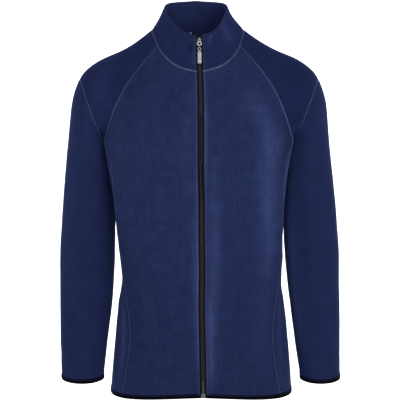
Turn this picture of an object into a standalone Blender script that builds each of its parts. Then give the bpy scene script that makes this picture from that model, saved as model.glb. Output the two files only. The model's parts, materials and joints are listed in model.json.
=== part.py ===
# Microfleece jacket, worn shape with no wearer: a zipped front with a stand collar,
# raglan shoulder pieces, sleeves, side panels and bound hem and cuffs.
# Metres, +Z up, the front faces -Y. The origin is in the middle of the neck, level
# with the tops of the shoulders, where a wearer carries the jacket.

import math

import bmesh
import bpy
import numpy as np
from mathutils import Matrix, Vector

# Cloth and seams
CLOTH = 0.0020
COLLAR_CLOTH = 0.0026
BINDING_CLOTH = 0.0030
BINDING_HEIGHT = 0.0050
SEAM_GAP = 0.0003
PROUD = 0.0005
CORNER_LIMIT = 0.35
SHARP_ANGLE = 50.0

# Quads across each piece
FRONT_COLUMNS = 8
SIDE_COLUMNS = 4
RAGLAN_ROWS = 6
NECK_COLUMNS = 4
BODY_ROWS = 14
CAP_ROWS = 6
SLEEVE_ROWS = 15
COLLAR_ROWS = 3

# How the quads crowd together: towards the zip, the underarm and the shoulder's end
ZIP_CROWDING = 1.10
UNDERARM_CROWDING = 0.16
SHOULDER_CROWDING = 1.15

# Smoothing of the points that no table gives
SMOOTHING_ROUNDS = 2
SHORTEST_EDGE = 0.0040

# Heights
HEM_Z = -0.6960
UNDERARM_Z = -0.2035

# Zip
ZIP_HALF_WIDTH = 0.0060
TAPE_CLOTH = 0.0010
TAPE_SUNK = 0.0006
CHAIN_WIDTH = 0.0052
CHAIN_THICK = 0.0012
CHAIN_TOP_INSET = 0.0140
END_BOX_LENGTH = 0.0090
END_BOX_WIDTH = 0.0078
END_BOX_THICK = 0.0024

# Slider, with an arched crown that the pull hangs from. The arch is wound round with flats.
SLIDER_LENGTH = 0.0125
SLIDER_WIDTH = 0.0098
SLIDER_PLATE = 0.0009
SLIDER_DROP = 0.0088
CROWN_LENGTH = 0.0076
CROWN_WIDTH = 0.0020
CROWN_HEIGHT = 0.0048
CROWN_THICK = 0.0008
CROWN_RISE = 0.0022
CROWN_FLATS = 12

# Link: a round eye on two legs, whose cross bar lies under the crown
PULL_THICK = 0.0012
LINK_BAR = 0.0010
LINK_GAP = 0.0030
LINK_EYE = -0.0092
LINK_EYE_RADIUS = 0.0048
DISC_SIDES = 28
LINK_HOLE_RADIUS = 0.0016

# Tab: a long plate whose wire ring passes through the link's eye
RING_RADIUS = 0.00245
RING_WIRE = 0.0004
RING_FLATS = 20
WIRE_SIDES = 8
TAB_LENGTH = 0.0338
TAB_WIDTH = 0.0086
TAB_TOP_WIDTH = 0.0066
TAB_TOP_LENGTH = 0.0052
TAB_START = 0.0022
TAB_HOLE_RADIUS = 0.0011
TAB_HOLE_SIDES = 16

# Rings of the body at and below the underarm. "front" and "back" are the depths before
# and behind the sides, "seam" is how far out the side panel's seams lie on the ring, and
# "side_y" is how far forward the ring is widest, so that the sleeves hang behind that edge.
BODY_NAMES = ("z", "half_width", "front", "back", "squareness", "seam", "side_y")
BODY = [
    (-0.7100, 0.1815, 0.125, 0.114, 2.75, 0.880, 0.000),
    (-0.6450, 0.1768, 0.121, 0.113, 2.45, 0.832, 0.000),
    (-0.6000, 0.1728, 0.118, 0.109, 2.40, 0.816, 0.000),
    (-0.5500, 0.1682, 0.115, 0.102, 2.35, 0.848, 0.000),
    (-0.5080, 0.1634, 0.113, 0.095, 2.30, 0.912, 0.000),
    (-0.4720, 0.1603, 0.113, 0.089, 2.30, 0.968, -0.004),
    (-0.4240, 0.1629, 0.115, 0.090, 2.30, 0.984, -0.016),
    (-0.3390, 0.1682, 0.119, 0.098, 2.35, 0.986, -0.032),
    (-0.2740, 0.1750, 0.121, 0.108, 2.40, 0.972, -0.034),
    (-0.2460, 0.1802, 0.121, 0.112, 2.40, 0.964, -0.033),
    (-0.2120, 0.1868, 0.120, 0.115, 2.40, 0.972, -0.026),
    (-0.2035, 0.1895, 0.119, 0.116, 2.40, 0.984, -0.012),
]

# Centre lines above the underarm, down the front and down the back.
FRONT_LINE_NAMES = ("z", "y")
FRONT_LINE = [(-0.2035, -0.119), (-0.1600, -0.1145), (-0.1200, -0.1065), (-0.0670, -0.0930)]
BACK_LINE_NAMES = ("z", "y")
BACK_LINE = [(-0.2035, 0.116), (-0.1500, 0.1165), (-0.0900, 0.108), (-0.0300, 0.089), (0.0180, 0.068)]

# The raglan seam, from the underarm up to the neck, seen from the front.
RAGLAN_NAMES = ("up", "x", "z")
RAGLAN = [
    (0.00, 0.1865, -0.2035),
    (0.22, 0.1765, -0.1650),
    (0.45, 0.1600, -0.1235),
    (0.70, 0.1350, -0.0780),
    (1.00, 0.0815, -0.0145),
]
BACK_RAGLAN_RISE = 0.0220

# The top of the shoulder from the neck seam out to the sleeve seam.
SHOULDER_NAMES = ("x", "z", "y")
SHOULDER = [
    (0.0915, 0.0200, 0.000),
    (0.1080, 0.0078, 0.001),
    (0.1341, -0.0106, 0.002),
    (0.1700, -0.0281, 0.004),
    (0.1996, -0.0415, 0.005),
    (0.2211, -0.0566, 0.006),
    (0.2380, -0.0775, 0.006),
]

# Rings of the sleeve, from the sleeve seam to the cuff. Each is an oval between the side
# next to the body and the side away from it. "right_ease" is how much fuller the right
# sleeve hangs next to the body.
SLEEVE_NAMES = ("along", "inner_x", "inner_z", "outer_x", "outer_z", "middle_y", "half_depth", "right_ease")
SLEEVE = [
    (0.000, 0.1895, -0.2035, 0.2380, -0.0775, 0.006, 0.0640, 0.0000),
    (0.044, 0.1868, -0.2150, 0.2500, -0.1040, 0.011, 0.0660, 0.0000),
    (0.113, 0.1802, -0.2380, 0.2565, -0.1450, 0.014, 0.0675, 0.0000),
    (0.213, 0.1728, -0.2760, 0.2620, -0.2050, 0.016, 0.0680, 0.0000),
    (0.344, 0.1676, -0.3340, 0.2695, -0.2840, 0.018, 0.0665, 0.0000),
    (0.484, 0.1698, -0.4000, 0.2765, -0.3680, 0.019, 0.0630, 0.0005),
    (0.613, 0.1735, -0.4560, 0.2802, -0.4450, 0.016, 0.0590, 0.0030),
    (0.729, 0.1803, -0.5200, 0.2802, -0.5150, 0.006, 0.0530, 0.0052),
    (0.866, 0.1892, -0.5980, 0.2792, -0.5960, -0.010, 0.0450, 0.0042),
    (1.000, 0.1980, -0.6685, 0.2768, -0.6685, -0.026, 0.0370, 0.0048),
]
UNDERARM_ANGLE = 28.0
CUFF_FRONT_DROP = 0.0078
CUFF_DROP_START = 0.7000

# The front hem dips between the zip and the sides, and the dip fades out upwards.
HEM_DIP = 0.0050
HEM_DIP_HEIGHT = 0.1200

# The neck seam and the collar's top edge, by the angle round the neck from the front.
NECK_NAMES = ("angle", "neck_z", "top_z")
NECK = [
    (0.0, -0.0670, 0.0030),
    (27.0, -0.0550, 0.0150),
    (45.0, -0.0373, 0.0285),
    (61.0, -0.0168, 0.0450),
    (75.0, 0.0044, 0.0570),
    (90.0, 0.0200, 0.0660),
    (125.0, 0.0200, 0.0755),
    (180.0, 0.0180, 0.0805),
]
NECK_HALF_WIDTH = 0.0915
NECK_FRONT = 0.0930
NECK_BACK = 0.0680
TOP_HALF_WIDTH = 0.0625
TOP_FRONT = 0.0700
TOP_BACK = 0.0620
COLLAR_HOLLOW = 0.0030
FRONT_RAGLAN_ANGLE = 63.0
BACK_RAGLAN_ANGLE = 122.0

# How far the worn jacket leans to one side, and how the zip's line runs against that.
LEAN_NAMES = ("z", "body", "sleeve", "zip")
LEAN = [
    (-0.7000, 0.0035, 0.0030, 0.0040),
    (-0.5900, 0.0037, 0.0015, 0.0018),
    (-0.5100, 0.0040, 0.0005, 0.0003),
    (-0.4700, 0.0042, 0.0002, 0.0008),
    (-0.3800, 0.0006, 0.0000, 0.0035),
    (-0.3200, -0.0006, -0.0006, 0.0046),
    (-0.2500, -0.0020, -0.0020, 0.0048),
    (-0.1000, -0.0010, -0.0010, 0.0032),
    (-0.0400, -0.0006, -0.0006, 0.0004),
    (0.0200, -0.0034, -0.0034, 0.0022),
    (0.0560, -0.0070, -0.0070, 0.0022),
    (0.0800, -0.0072, -0.0072, 0.0022),
]

NAVY = (0.0130, 0.0190, 0.0600)
BLACK_BINDING = (0.0040, 0.0045, 0.0100)
BLACK_ZIP = (0.0080, 0.0080, 0.0095)
SILVER = (0.6000, 0.6100, 0.6300)
BOX_GREY = (0.1000, 0.1000, 0.0930)

# A wearer's left is at +X.
SIDES = (("left", 1), ("right", -1))


def clear_scene():
    for item in list(bpy.data.objects):
        bpy.data.objects.remove(item, do_unlink=True)


def material(name, colour, roughness, metallic=0.0):
    made = bpy.data.materials.new(name)
    made.use_nodes = True
    shader = made.node_tree.nodes["Principled BSDF"]
    shader.inputs["Base Color"].default_value = (*colour, 1.0)
    shader.inputs["Roughness"].default_value = roughness
    shader.inputs["Metallic"].default_value = metallic
    return made


def curve_through(knots, values, at):
    """Smooth curve through a short table, with no overshoot between its rows."""
    order = np.argsort(knots)
    knots = np.asarray(knots, float)[order]
    values = np.asarray(values, float)[order]
    steps = np.diff(knots)
    slopes = np.diff(values) / steps
    tangents = np.zeros(len(knots))
    tangents[0] = slopes[0]
    tangents[-1] = slopes[-1]
    for i in range(1, len(knots) - 1):
        if slopes[i - 1] * slopes[i] > 0.0:
            before = 2.0 * steps[i] + steps[i - 1]
            after = steps[i] + 2.0 * steps[i - 1]
            tangents[i] = (before + after) / (before / slopes[i - 1] + after / slopes[i])
    at = min(max(at, knots[0]), knots[-1])
    i = min(int(np.searchsorted(knots, at, side="right")) - 1, len(steps) - 1)
    t = (at - knots[i]) / steps[i]
    return float(
        (2 * t**3 - 3 * t**2 + 1) * values[i]
        + (t**3 - 2 * t**2 + t) * steps[i] * tangents[i]
        + (-2 * t**3 + 3 * t**2) * values[i + 1]
        + (t**3 - t**2) * steps[i] * tangents[i + 1]
    )


def read(table, names, wanted, at):
    """The wanted column of a table, where its first column has the value at."""
    column = names.index(wanted)
    return curve_through([row[0] for row in table], [row[column] for row in table], at)


def mix(start, end, part):
    return start + (end - start) * part


# ---- the form of the worn jacket ----


def body_point(z, side, angle):
    """Point on a body ring, by its angle round from the front."""
    width = read(BODY, BODY_NAMES, "half_width", z)
    power = 2.0 / read(BODY, BODY_NAMES, "squareness", z)
    middle = read(BODY, BODY_NAMES, "side_y", z)
    reach = -read(BODY, BODY_NAMES, "front", z) - middle
    if angle > math.pi / 2:
        reach = read(BODY, BODY_NAMES, "back", z) - middle
    x = width * abs(math.sin(angle)) ** power
    return Vector((side * x, middle + reach * abs(math.cos(angle)) ** power, z))


def body_angle(z, x):
    """Angle from the front at which a body ring is x away from the middle."""
    width = read(BODY, BODY_NAMES, "half_width", z)
    squareness = read(BODY, BODY_NAMES, "squareness", z)
    return math.asin(min(1.0, (abs(x) / width) ** (squareness / 2.0)))


def zip_x(z):
    return read(LEAN, LEAN_NAMES, "zip", z)


def zip_edge_x(z, side):
    return zip_x(z) + side * ZIP_HALF_WIDTH


def body_ring(z, side):
    """Front panel, side panel and back panel of one side, from the zip to the back centre."""
    seam_x = read(BODY, BODY_NAMES, "seam", z) * read(BODY, BODY_NAMES, "half_width", z)
    seam = body_angle(z, seam_x)
    edge = body_angle(z, zip_edge_x(z, side))
    stops = [mix(edge, seam, (j / FRONT_COLUMNS) ** ZIP_CROWDING) for j in range(FRONT_COLUMNS)]
    stops += [mix(seam, math.pi - seam, j / SIDE_COLUMNS) for j in range(SIDE_COLUMNS)]
    stops += [mix(math.pi - seam, math.pi, j / FRONT_COLUMNS) for j in range(FRONT_COLUMNS + 1)]
    points = [body_point(z, side, stop) for stop in stops]
    points[0].x = zip_edge_x(z, side)
    fade = max(0.0, 1.0 - (z - HEM_Z) / HEM_DIP_HEIGHT)
    for point, stop in zip(points, stops):
        point.z -= HEM_DIP * fade**2 * max(0.0, math.sin(2 * stop))
    return points


def neck_point(side, angle, up):
    """Point on the collar: up is 0 on the neck seam and 1 on the collar's top edge."""
    degrees = math.degrees(angle)
    seam = Vector((
        NECK_HALF_WIDTH * math.sin(angle),
        -math.cos(angle) * (NECK_FRONT if degrees <= 90.0 else NECK_BACK),
        read(NECK, NECK_NAMES, "neck_z", degrees),
    ))
    top = Vector((
        TOP_HALF_WIDTH * math.sin(angle),
        -math.cos(angle) * (TOP_FRONT if degrees <= 90.0 else TOP_BACK),
        read(NECK, NECK_NAMES, "top_z", degrees),
    ))
    point = seam.lerp(top, up)
    inward = Vector((-math.sin(angle), math.cos(angle), 0.0))
    point += inward * COLLAR_HOLLOW * math.sin(math.pi * up) * math.sin(angle / 2) ** 0.5
    point.x *= side
    return point


def neck_ring(side, up):
    """Collar ring of one side, from the zip to the back centre."""
    half_width = mix(NECK_HALF_WIDTH, TOP_HALF_WIDTH, up)
    height = mix(NECK[0][1], NECK[0][2], up)
    edge = math.asin(abs(zip_edge_x(height, side)) / half_width)
    front = math.radians(FRONT_RAGLAN_ANGLE)
    back = math.radians(BACK_RAGLAN_ANGLE)
    stops = [mix(edge, front, j / FRONT_COLUMNS) for j in range(FRONT_COLUMNS)]
    stops += [mix(front, back, j / NECK_COLUMNS) for j in range(NECK_COLUMNS)]
    stops += [mix(back, math.pi, j / FRONT_COLUMNS) for j in range(FRONT_COLUMNS + 1)]
    points = [neck_point(side, stop, up) for stop in stops]
    points[0].x = zip_edge_x(height, side)
    return points


def sleeve_angles():
    """Angles round a sleeve ring, from the underarm's front corner by the back."""
    underarm = math.radians(UNDERARM_ANGLE)
    rest = 2 * RAGLAN_ROWS + NECK_COLUMNS
    angles = [mix(-underarm, underarm, i / SIDE_COLUMNS) for i in range(SIDE_COLUMNS)]
    angles += [mix(underarm, 2 * math.pi - underarm, i / rest) for i in range(rest)]
    return angles


def sleeve_point(side, along, angle):
    """Point on a sleeve ring: angle 0 is next to the body, and the back is at +90 degrees."""
    ease = read(SLEEVE, SLEEVE_NAMES, "right_ease", along) if side < 0 else 0.0
    inner = Vector((read(SLEEVE, SLEEVE_NAMES, "inner_x", along) - ease, 0.0,
                    read(SLEEVE, SLEEVE_NAMES, "inner_z", along)))
    outer = Vector((read(SLEEVE, SLEEVE_NAMES, "outer_x", along), 0.0,
                    read(SLEEVE, SLEEVE_NAMES, "outer_z", along)))
    depth = read(SLEEVE, SLEEVE_NAMES, "half_depth", along)
    middle = (inner + outer) / 2
    point = middle + (inner - middle) * math.cos(angle)
    point.y = read(SLEEVE, SLEEVE_NAMES, "middle_y", along) + depth * math.sin(angle)
    point.z += CUFF_FRONT_DROP * math.sin(angle) * max(0.0, along - CUFF_DROP_START) / (1 - CUFF_DROP_START)
    point.x *= side
    return point


class Form:
    """The outer face of the whole jacket as one net of quads, each in a named piece."""

    def __init__(self):
        self.keys = {}
        self.points = []
        self.held = []
        self.arm = []
        self.faces = []
        self.sharp = set()
        self.normals = []

    def add(self, key, point, held="xyz", arm=0.0):
        if key not in self.keys:
            self.keys[key] = len(self.points)
            self.points.append(Vector(point))
            self.held.append(held)
            self.arm.append(arm)
        return self.keys[key]

    def quad(self, piece, side, keys):
        corners = [self.keys[key] for key in keys]
        if side < 0:
            corners.reverse()
        self.faces.append((piece, corners))

    def patch(self, piece, side, key, row, column):
        """The quad between two rows and two columns of the net that key names."""
        self.quad(piece, side, [key(row, side, column), key(row, side, column + 1),
                                key(row + 1, side, column + 1), key(row + 1, side, column)])


def body_key(row, side, column):
    """Key of a body point. The back centre belongs to both sides."""
    if column == 2 * FRONT_COLUMNS + SIDE_COLUMNS:
        return ("body", row, 0, column)
    return ("body", row, side, column)


def collar_key(row, side, column):
    """Key of a collar point. Row 0 is the neck seam, which the body shares."""
    if row == 0 and column <= FRONT_COLUMNS:
        return body_key(BODY_ROWS + RAGLAN_ROWS, side, column)
    if row == 0 and column >= FRONT_COLUMNS + NECK_COLUMNS:
        return body_key(BODY_ROWS + RAGLAN_ROWS, side, column - NECK_COLUMNS + SIDE_COLUMNS)
    if column == 2 * FRONT_COLUMNS + NECK_COLUMNS:
        return ("collar", row, 0, column)
    return ("collar", row, side, column)


def sleeve_key(row, side, column):
    """Key of a sleeve point. Row 0 runs round the raglan seams, which the body shares."""
    count = SIDE_COLUMNS + 2 * RAGLAN_ROWS + NECK_COLUMNS
    column %= count
    if row > 0:
        return ("sleeve", row, side, column)
    if column <= SIDE_COLUMNS:
        return body_key(BODY_ROWS, side, FRONT_COLUMNS + column)
    column -= SIDE_COLUMNS
    if column <= RAGLAN_ROWS:
        return body_key(BODY_ROWS + column, side, FRONT_COLUMNS + SIDE_COLUMNS)
    column -= RAGLAN_ROWS
    if column < NECK_COLUMNS:
        return collar_key(0, side, FRONT_COLUMNS + NECK_COLUMNS - column)
    column -= NECK_COLUMNS
    return body_key(BODY_ROWS + RAGLAN_ROWS - column, side, FRONT_COLUMNS)


def zip_key(row):
    return ("zip", row)


def body_heights():
    """Heights of the body's rings, closer together at the underarm."""
    rows = [HEM_Z - BINDING_HEIGHT]
    for row in range(BODY_ROWS + 1):
        part = row / BODY_ROWS
        rows.append(mix(HEM_Z, UNDERARM_Z, part + UNDERARM_CROWDING * part**2 * (1 - part)))
    return rows


def add_body(form):
    for row, z in enumerate(body_heights(), start=-1):
        for _, side in SIDES:
            for column, point in enumerate(body_ring(z, side)):
                form.add(body_key(row, side, column), point)
        middle = body_point(z, 1, body_angle(z, zip_x(z)))
        middle.x = zip_x(z)
        form.add(zip_key(row), middle)


def add_yoke(form):
    """Front and back above the underarm, up to the neck seam."""
    top = BODY_ROWS + RAGLAN_ROWS
    for _, side in SIDES:
        under = body_ring(UNDERARM_Z, side)
        neck = neck_ring(side, 0.0)
        for row in range(1, RAGLAN_ROWS):
            up = row / RAGLAN_ROWS
            seam_x = read(RAGLAN, RAGLAN_NAMES, "x", up)
            seam_z = read(RAGLAN, RAGLAN_NAMES, "z", up)
            for column in range(FRONT_COLUMNS + 1):
                part = column / FRONT_COLUMNS
                front = under[column].lerp(neck[column], up)
                back_column = FRONT_COLUMNS + SIDE_COLUMNS + column
                back = under[back_column].lerp(neck[FRONT_COLUMNS + NECK_COLUMNS + column], up)
                front_held = ""
                back_held = ""
                if column == 0:
                    front.x = zip_edge_x(front.z, side)
                    front.y = read(FRONT_LINE, FRONT_LINE_NAMES, "y", front.z)
                    front_held = "xyz"
                    back = Vector((side * seam_x, back.y, seam_z + BACK_RAGLAN_RISE * up**2))
                    back_held = "xz"
                if column == FRONT_COLUMNS:
                    front = Vector((side * seam_x, front.y, seam_z))
                    front_held = "xz"
                    back.x = 0.0
                    back.y = read(BACK_LINE, BACK_LINE_NAMES, "y", back.z)
                    back_held = "xyz"
                form.add(body_key(BODY_ROWS + row, side, column), front, front_held)
                form.add(body_key(BODY_ROWS + row, side, back_column), back, back_held)
            z = form.points[form.keys[body_key(BODY_ROWS + row, side, 0)]].z
            form.add(zip_key(BODY_ROWS + row), (zip_x(z), read(FRONT_LINE, FRONT_LINE_NAMES, "y", z), z))
        for column in range(FRONT_COLUMNS + 1):
            form.add(body_key(top, side, column), neck[column])
            form.add(body_key(top, side, FRONT_COLUMNS + SIDE_COLUMNS + column),
                     neck[FRONT_COLUMNS + NECK_COLUMNS + column])


def add_collar(form):
    top = BODY_ROWS + RAGLAN_ROWS
    for row in range(COLLAR_ROWS + 1):
        up = row / COLLAR_ROWS
        for _, side in SIDES:
            for column, point in enumerate(neck_ring(side, up)):
                form.add(collar_key(row, side, column), point)
        middle = neck_point(1, 0.0, up)
        middle.x = zip_x(middle.z)
        form.add(zip_key(top + row), middle)


def add_sleeves(form):
    """Shoulder piece from the raglan seams to the sleeve seam, then the sleeve and its cuff."""
    angles = sleeve_angles()
    ridge = SIDE_COLUMNS + RAGLAN_ROWS + NECK_COLUMNS // 2
    for _, side in SIDES:
        for row in range(1, CAP_ROWS):
            part = row / CAP_ROWS
            for column, angle in enumerate(angles):
                start = form.points[form.keys[sleeve_key(0, side, column)]]
                point = start.lerp(sleeve_point(side, 0.0, angle), part)
                held = ""
                if column == ridge:
                    x = mix(SHOULDER[0][0], SHOULDER[-1][0], 1 - (1 - part) ** SHOULDER_CROWDING)
                    point = Vector((side * x, read(SHOULDER, SHOULDER_NAMES, "y", x),
                                    read(SHOULDER, SHOULDER_NAMES, "z", x)))
                    held = "xyz"
                form.add(sleeve_key(row, side, column), point, held, part)
        for row in range(SLEEVE_ROWS + 1):
            along = row / SLEEVE_ROWS
            for column, angle in enumerate(angles):
                form.add(sleeve_key(CAP_ROWS + row, side, column), sleeve_point(side, along, angle), arm=1.0)
        for column in range(len(angles)):
            cuff = form.points[form.keys[sleeve_key(CAP_ROWS + SLEEVE_ROWS, side, column)]]
            form.add(sleeve_key(CAP_ROWS + SLEEVE_ROWS + 1, side, column),
                     cuff - Vector((0.0, 0.0, BINDING_HEIGHT)), arm=1.0)


def add_faces(form):
    count = SIDE_COLUMNS + 2 * RAGLAN_ROWS + NECK_COLUMNS
    top = BODY_ROWS + RAGLAN_ROWS
    for name, side in SIDES:
        for row in range(-1, top):
            for column in range(2 * FRONT_COLUMNS + SIDE_COLUMNS):
                on_side = FRONT_COLUMNS <= column < FRONT_COLUMNS + SIDE_COLUMNS
                if row >= BODY_ROWS and on_side:
                    continue
                piece = "back"
                if column < FRONT_COLUMNS:
                    piece = "front_" + name
                if on_side:
                    piece = "side_panel_" + name
                if row < 0:
                    piece = "hem_binding"
                form.patch(piece, side, body_key, row, column)
        for row in range(COLLAR_ROWS):
            for column in range(2 * FRONT_COLUMNS + NECK_COLUMNS):
                form.patch("collar", side, collar_key, row, column)
        for row in range(CAP_ROWS + SLEEVE_ROWS + 1):
            piece = "sleeve_" + name
            if row < CAP_ROWS:
                piece = "shoulder_" + name
            if row == CAP_ROWS + SLEEVE_ROWS:
                piece = "cuff_binding_" + name
            for column in range(count):
                form.patch(piece, side, sleeve_key, row, column)
        for row in range(-1, top + COLLAR_ROWS):
            lower = body_key(row, side, 0) if row <= top else collar_key(row - top, side, 0)
            upper = body_key(row + 1, side, 0) if row < top else collar_key(row + 1 - top, side, 0)
            form.quad("zip_tape_" + name, side, [zip_key(row), lower, upper, zip_key(row + 1)])


def neighbours_of(form):
    found = [set() for _ in form.points]
    for _, corners in form.faces:
        for i, corner in enumerate(corners):
            found[corner].add(corners[i - 1])
            found[corners[i - 1]].add(corner)
    return found


def draw_smooth(form):
    """Move the points that nothing holds to the smoothest surface through the held ones."""
    beside = neighbours_of(form)
    free = [[i for i, held in enumerate(form.held) if axis not in held] for axis in "xyz"]
    loose = {i for axis in free for i in axis}
    bending = [i for i in range(len(form.points))
               if i not in form.sharp and (i in loose or any(j in loose for j in beside[i]))]
    for _ in range(SMOOTHING_ROUNDS):
        places = np.array(form.points)
        rows = np.zeros((len(bending), len(form.points)))
        for row, i in enumerate(bending):
            weights = {j: 1.0 / max(SHORTEST_EDGE, (form.points[i] - form.points[j]).length)
                       for j in beside[i]}
            total = sum(weights.values())
            rows[row, i] = -1.0
            for j, weight in weights.items():
                rows[row, j] = weight / total
        for axis in range(3):
            moving = free[axis]
            still = [i for i in range(len(form.points)) if i not in set(moving)]
            pull = -rows[:, still] @ places[still, axis]
            solved = np.linalg.lstsq(rows[:, moving], pull, rcond=None)[0]
            for i, value in zip(moving, solved):
                form.points[i][axis] = float(value)


def mark_sharp(form):
    """The neck seam and the fold of the underarm, where the cloth turns sharply."""
    form.sharp.add(form.keys[zip_key(BODY_ROWS + RAGLAN_ROWS)])
    for _, side in SIDES:
        for column in range(2 * FRONT_COLUMNS + NECK_COLUMNS + 1):
            form.sharp.add(form.keys[collar_key(0, side, column)])
        for column in range(SIDE_COLUMNS + 1):
            form.sharp.add(form.keys[body_key(BODY_ROWS, side, FRONT_COLUMNS + column)])


def lean_over(form):
    for i, point in enumerate(form.points):
        body = read(LEAN, LEAN_NAMES, "body", point.z)
        sleeve = read(LEAN, LEAN_NAMES, "sleeve", point.z)
        point.x += mix(body, sleeve, form.arm[i])


def outward_normals(form):
    normals = [Vector() for _ in form.points]
    for _, corners in form.faces:
        a, b, c, d = (form.points[i] for i in corners)
        area = (c - a).cross(d - b)
        for i in corners:
            normals[i] += area
    return [normal.normalized() for normal in normals]


def make_form():
    form = Form()
    add_body(form)
    add_yoke(form)
    add_collar(form)
    add_sleeves(form)
    add_faces(form)
    mark_sharp(form)
    draw_smooth(form)
    lean_over(form)
    form.normals = outward_normals(form)
    return form


# ---- the pieces ----


def place(name, mesh, look, location=(0.0, 0.0, 0.0)):
    made = bpy.data.objects.new(name, mesh)
    made.location = location
    mesh.materials.append(look)
    bpy.context.scene.collection.objects.link(made)
    return made


def solid(name, corners, faces, look, smooth=True):
    mesh = bpy.data.meshes.new(name)
    mesh.from_pydata([tuple(corner) for corner in corners], [], faces)
    mesh.update()
    if smooth:
        mesh.shade_smooth()
        mesh.set_sharp_from_angle(angle=math.radians(SHARP_ANGLE))
    return place(name, mesh, look)


def edge_pulls(form, faces, gap):
    """How far each edge point of a piece moves into it, for half the seam's gap."""
    border = {}
    for corners in faces:
        middle = sum((form.points[i] for i in corners), Vector()) / len(corners)
        for i, corner in enumerate(corners):
            pair = frozenset((corners[i - 1], corner))
            border[pair] = None if pair in border else (corners[i - 1], corner, middle)
    pulls = {}
    for found in border.values():
        if found is None:
            continue
        start, end, middle = found
        along = (form.points[end] - form.points[start]).normalized()
        for i in (start, end):
            inward = form.normals[i].cross(along).normalized()
            if inward.dot(middle - form.points[i]) < 0.0:
                inward.negate()
            pulls.setdefault(i, []).append(inward)
    moves = {}
    for i, inward in pulls.items():
        if len(inward) == 1:
            moves[i] = inward[0] * gap / 2
        else:
            both = inward[0] + inward[1]
            moves[i] = both * (gap / 2) / max(CORNER_LIMIT, 1.0 + inward[0].dot(inward[1]))
    return moves


def cloth_piece(form, name, look, thickness, lift=0.0, gap=SEAM_GAP):
    """One cut piece: its outer face on the form, lifted by lift, and its thickness inwards."""
    faces = [corners for piece, corners in form.faces if piece == name]
    moves = edge_pulls(form, faces, gap)
    used = sorted({i for corners in faces for i in corners})
    index = {i: n for n, i in enumerate(used)}
    outer = []
    inner = []
    for i in used:
        point = form.points[i] + moves.get(i, Vector()) + form.normals[i] * lift
        outer.append(point)
        inner.append(point - form.normals[i] * thickness)
    count = len(used)
    built = []
    edges = {}
    for corners in faces:
        local = [index[i] for i in corners]
        built.append(local)
        built.append([i + count for i in reversed(local)])
        for i, corner in enumerate(local):
            edges[(local[i - 1], corner)] = True
    for start, end in edges:
        if (end, start) in edges:
            continue
        if start < end:
            built.append([end, start, end + count])
            built.append([start, start + count, end + count])
        else:
            built.append([end, start, start + count])
            built.append([end, start + count, end + count])
    return solid(name, outer + inner, built, look)


def zip_path(form, start_gap, end_gap):
    """Points, normals and directions down the middle of the zip, a row at a time."""
    rows = range(BODY_ROWS + RAGLAN_ROWS + COLLAR_ROWS, -2, -1)
    points = [form.points[form.keys[zip_key(row)]] for row in rows]
    normals = [form.normals[form.keys[zip_key(row)]] for row in rows]
    lengths = [0.0]
    for before, after in zip(points, points[1:]):
        lengths.append(lengths[-1] + (after - before).length)
    end = lengths[-1] - end_gap
    path = []
    for at in [start_gap] + [length for length in lengths if start_gap < length < end] + [end]:
        point = Vector([float(np.interp(at, lengths, [p[axis] for p in points])) for axis in range(3)])
        normal = Vector([float(np.interp(at, lengths, [n[axis] for n in normals])) for axis in range(3)])
        i = min(int(np.searchsorted(lengths, at, side="right")), len(points) - 1)
        down = (points[i] - points[i - 1]).normalized()
        path.append((point, (normal - down * normal.dot(down)).normalized(), down))
    return path


def bar_along(path, name, look, width, low, high):
    """A flat bar that follows a path, from low to high above it."""
    corners = []
    for point, normal, down in path:
        across = down.cross(normal).normalized() * width / 2
        corners += [point - across + normal * low, point + across + normal * low,
                    point + across + normal * high, point - across + normal * high]
    faces = [[0, 1, 2, 3], [len(corners) - 1 - i for i in range(4)]]
    for ring in range(len(path) - 1):
        for i in range(4):
            j = (i + 1) % 4
            faces.append([4 * ring + i, 4 * ring + 4 + i, 4 * ring + 4 + j, 4 * ring + j])
    return solid(name, corners, faces, look, smooth=False)


def box(size, middle):
    """A box in a bmesh of its own."""
    shape = bmesh.new()
    bmesh.ops.create_cube(shape, size=1.0, matrix=Matrix.Translation(middle) @ Matrix.Diagonal((*size, 1.0)))
    return shape


def arch(length, height, thick, width, foot, middle):
    """Half an oval of strip along the zip, with straight feet below it, in a bmesh of its own."""
    outline = []
    for reach, rise, turns in ((length / 2, height, 1), (length / 2 - thick, height - thick, -1)):
        stops = [math.pi * i / CROWN_FLATS for i in range(CROWN_FLATS + 1)][::turns]
        sides = [(reach * math.cos(stop), rise * math.sin(stop)) for stop in stops]
        outline += [(sides[0][0], -foot)] + sides + [(sides[-1][0], -foot)]
    shape = bmesh.new()
    rings = [[shape.verts.new(middle + Vector((x, up, along))) for along, up in outline]
             for x in (-width / 2, width / 2)]
    count = len(outline)
    half = count // 2
    for i in range(count):
        j = (i + 1) % count
        shape.faces.new((rings[0][i], rings[0][j], rings[1][j], rings[1][i]))
    for ring in rings:
        for i in range(half - 1):
            shape.faces.new((ring[i], ring[i + 1], ring[count - 2 - i], ring[count - 1 - i]))
    bmesh.ops.recalc_face_normals(shape, faces=shape.faces)
    return shape


def disc(radius, thick, middle, sides=DISC_SIDES):
    """A round plate that faces out of the cloth, in a bmesh of its own."""
    shape = bmesh.new()
    turn = Matrix.Rotation(math.pi / 2, 4, "X")
    bmesh.ops.create_cone(shape, cap_ends=True, segments=sides, radius1=radius, radius2=radius,
                          depth=thick, matrix=Matrix.Translation(middle) @ turn)
    return shape


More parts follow.
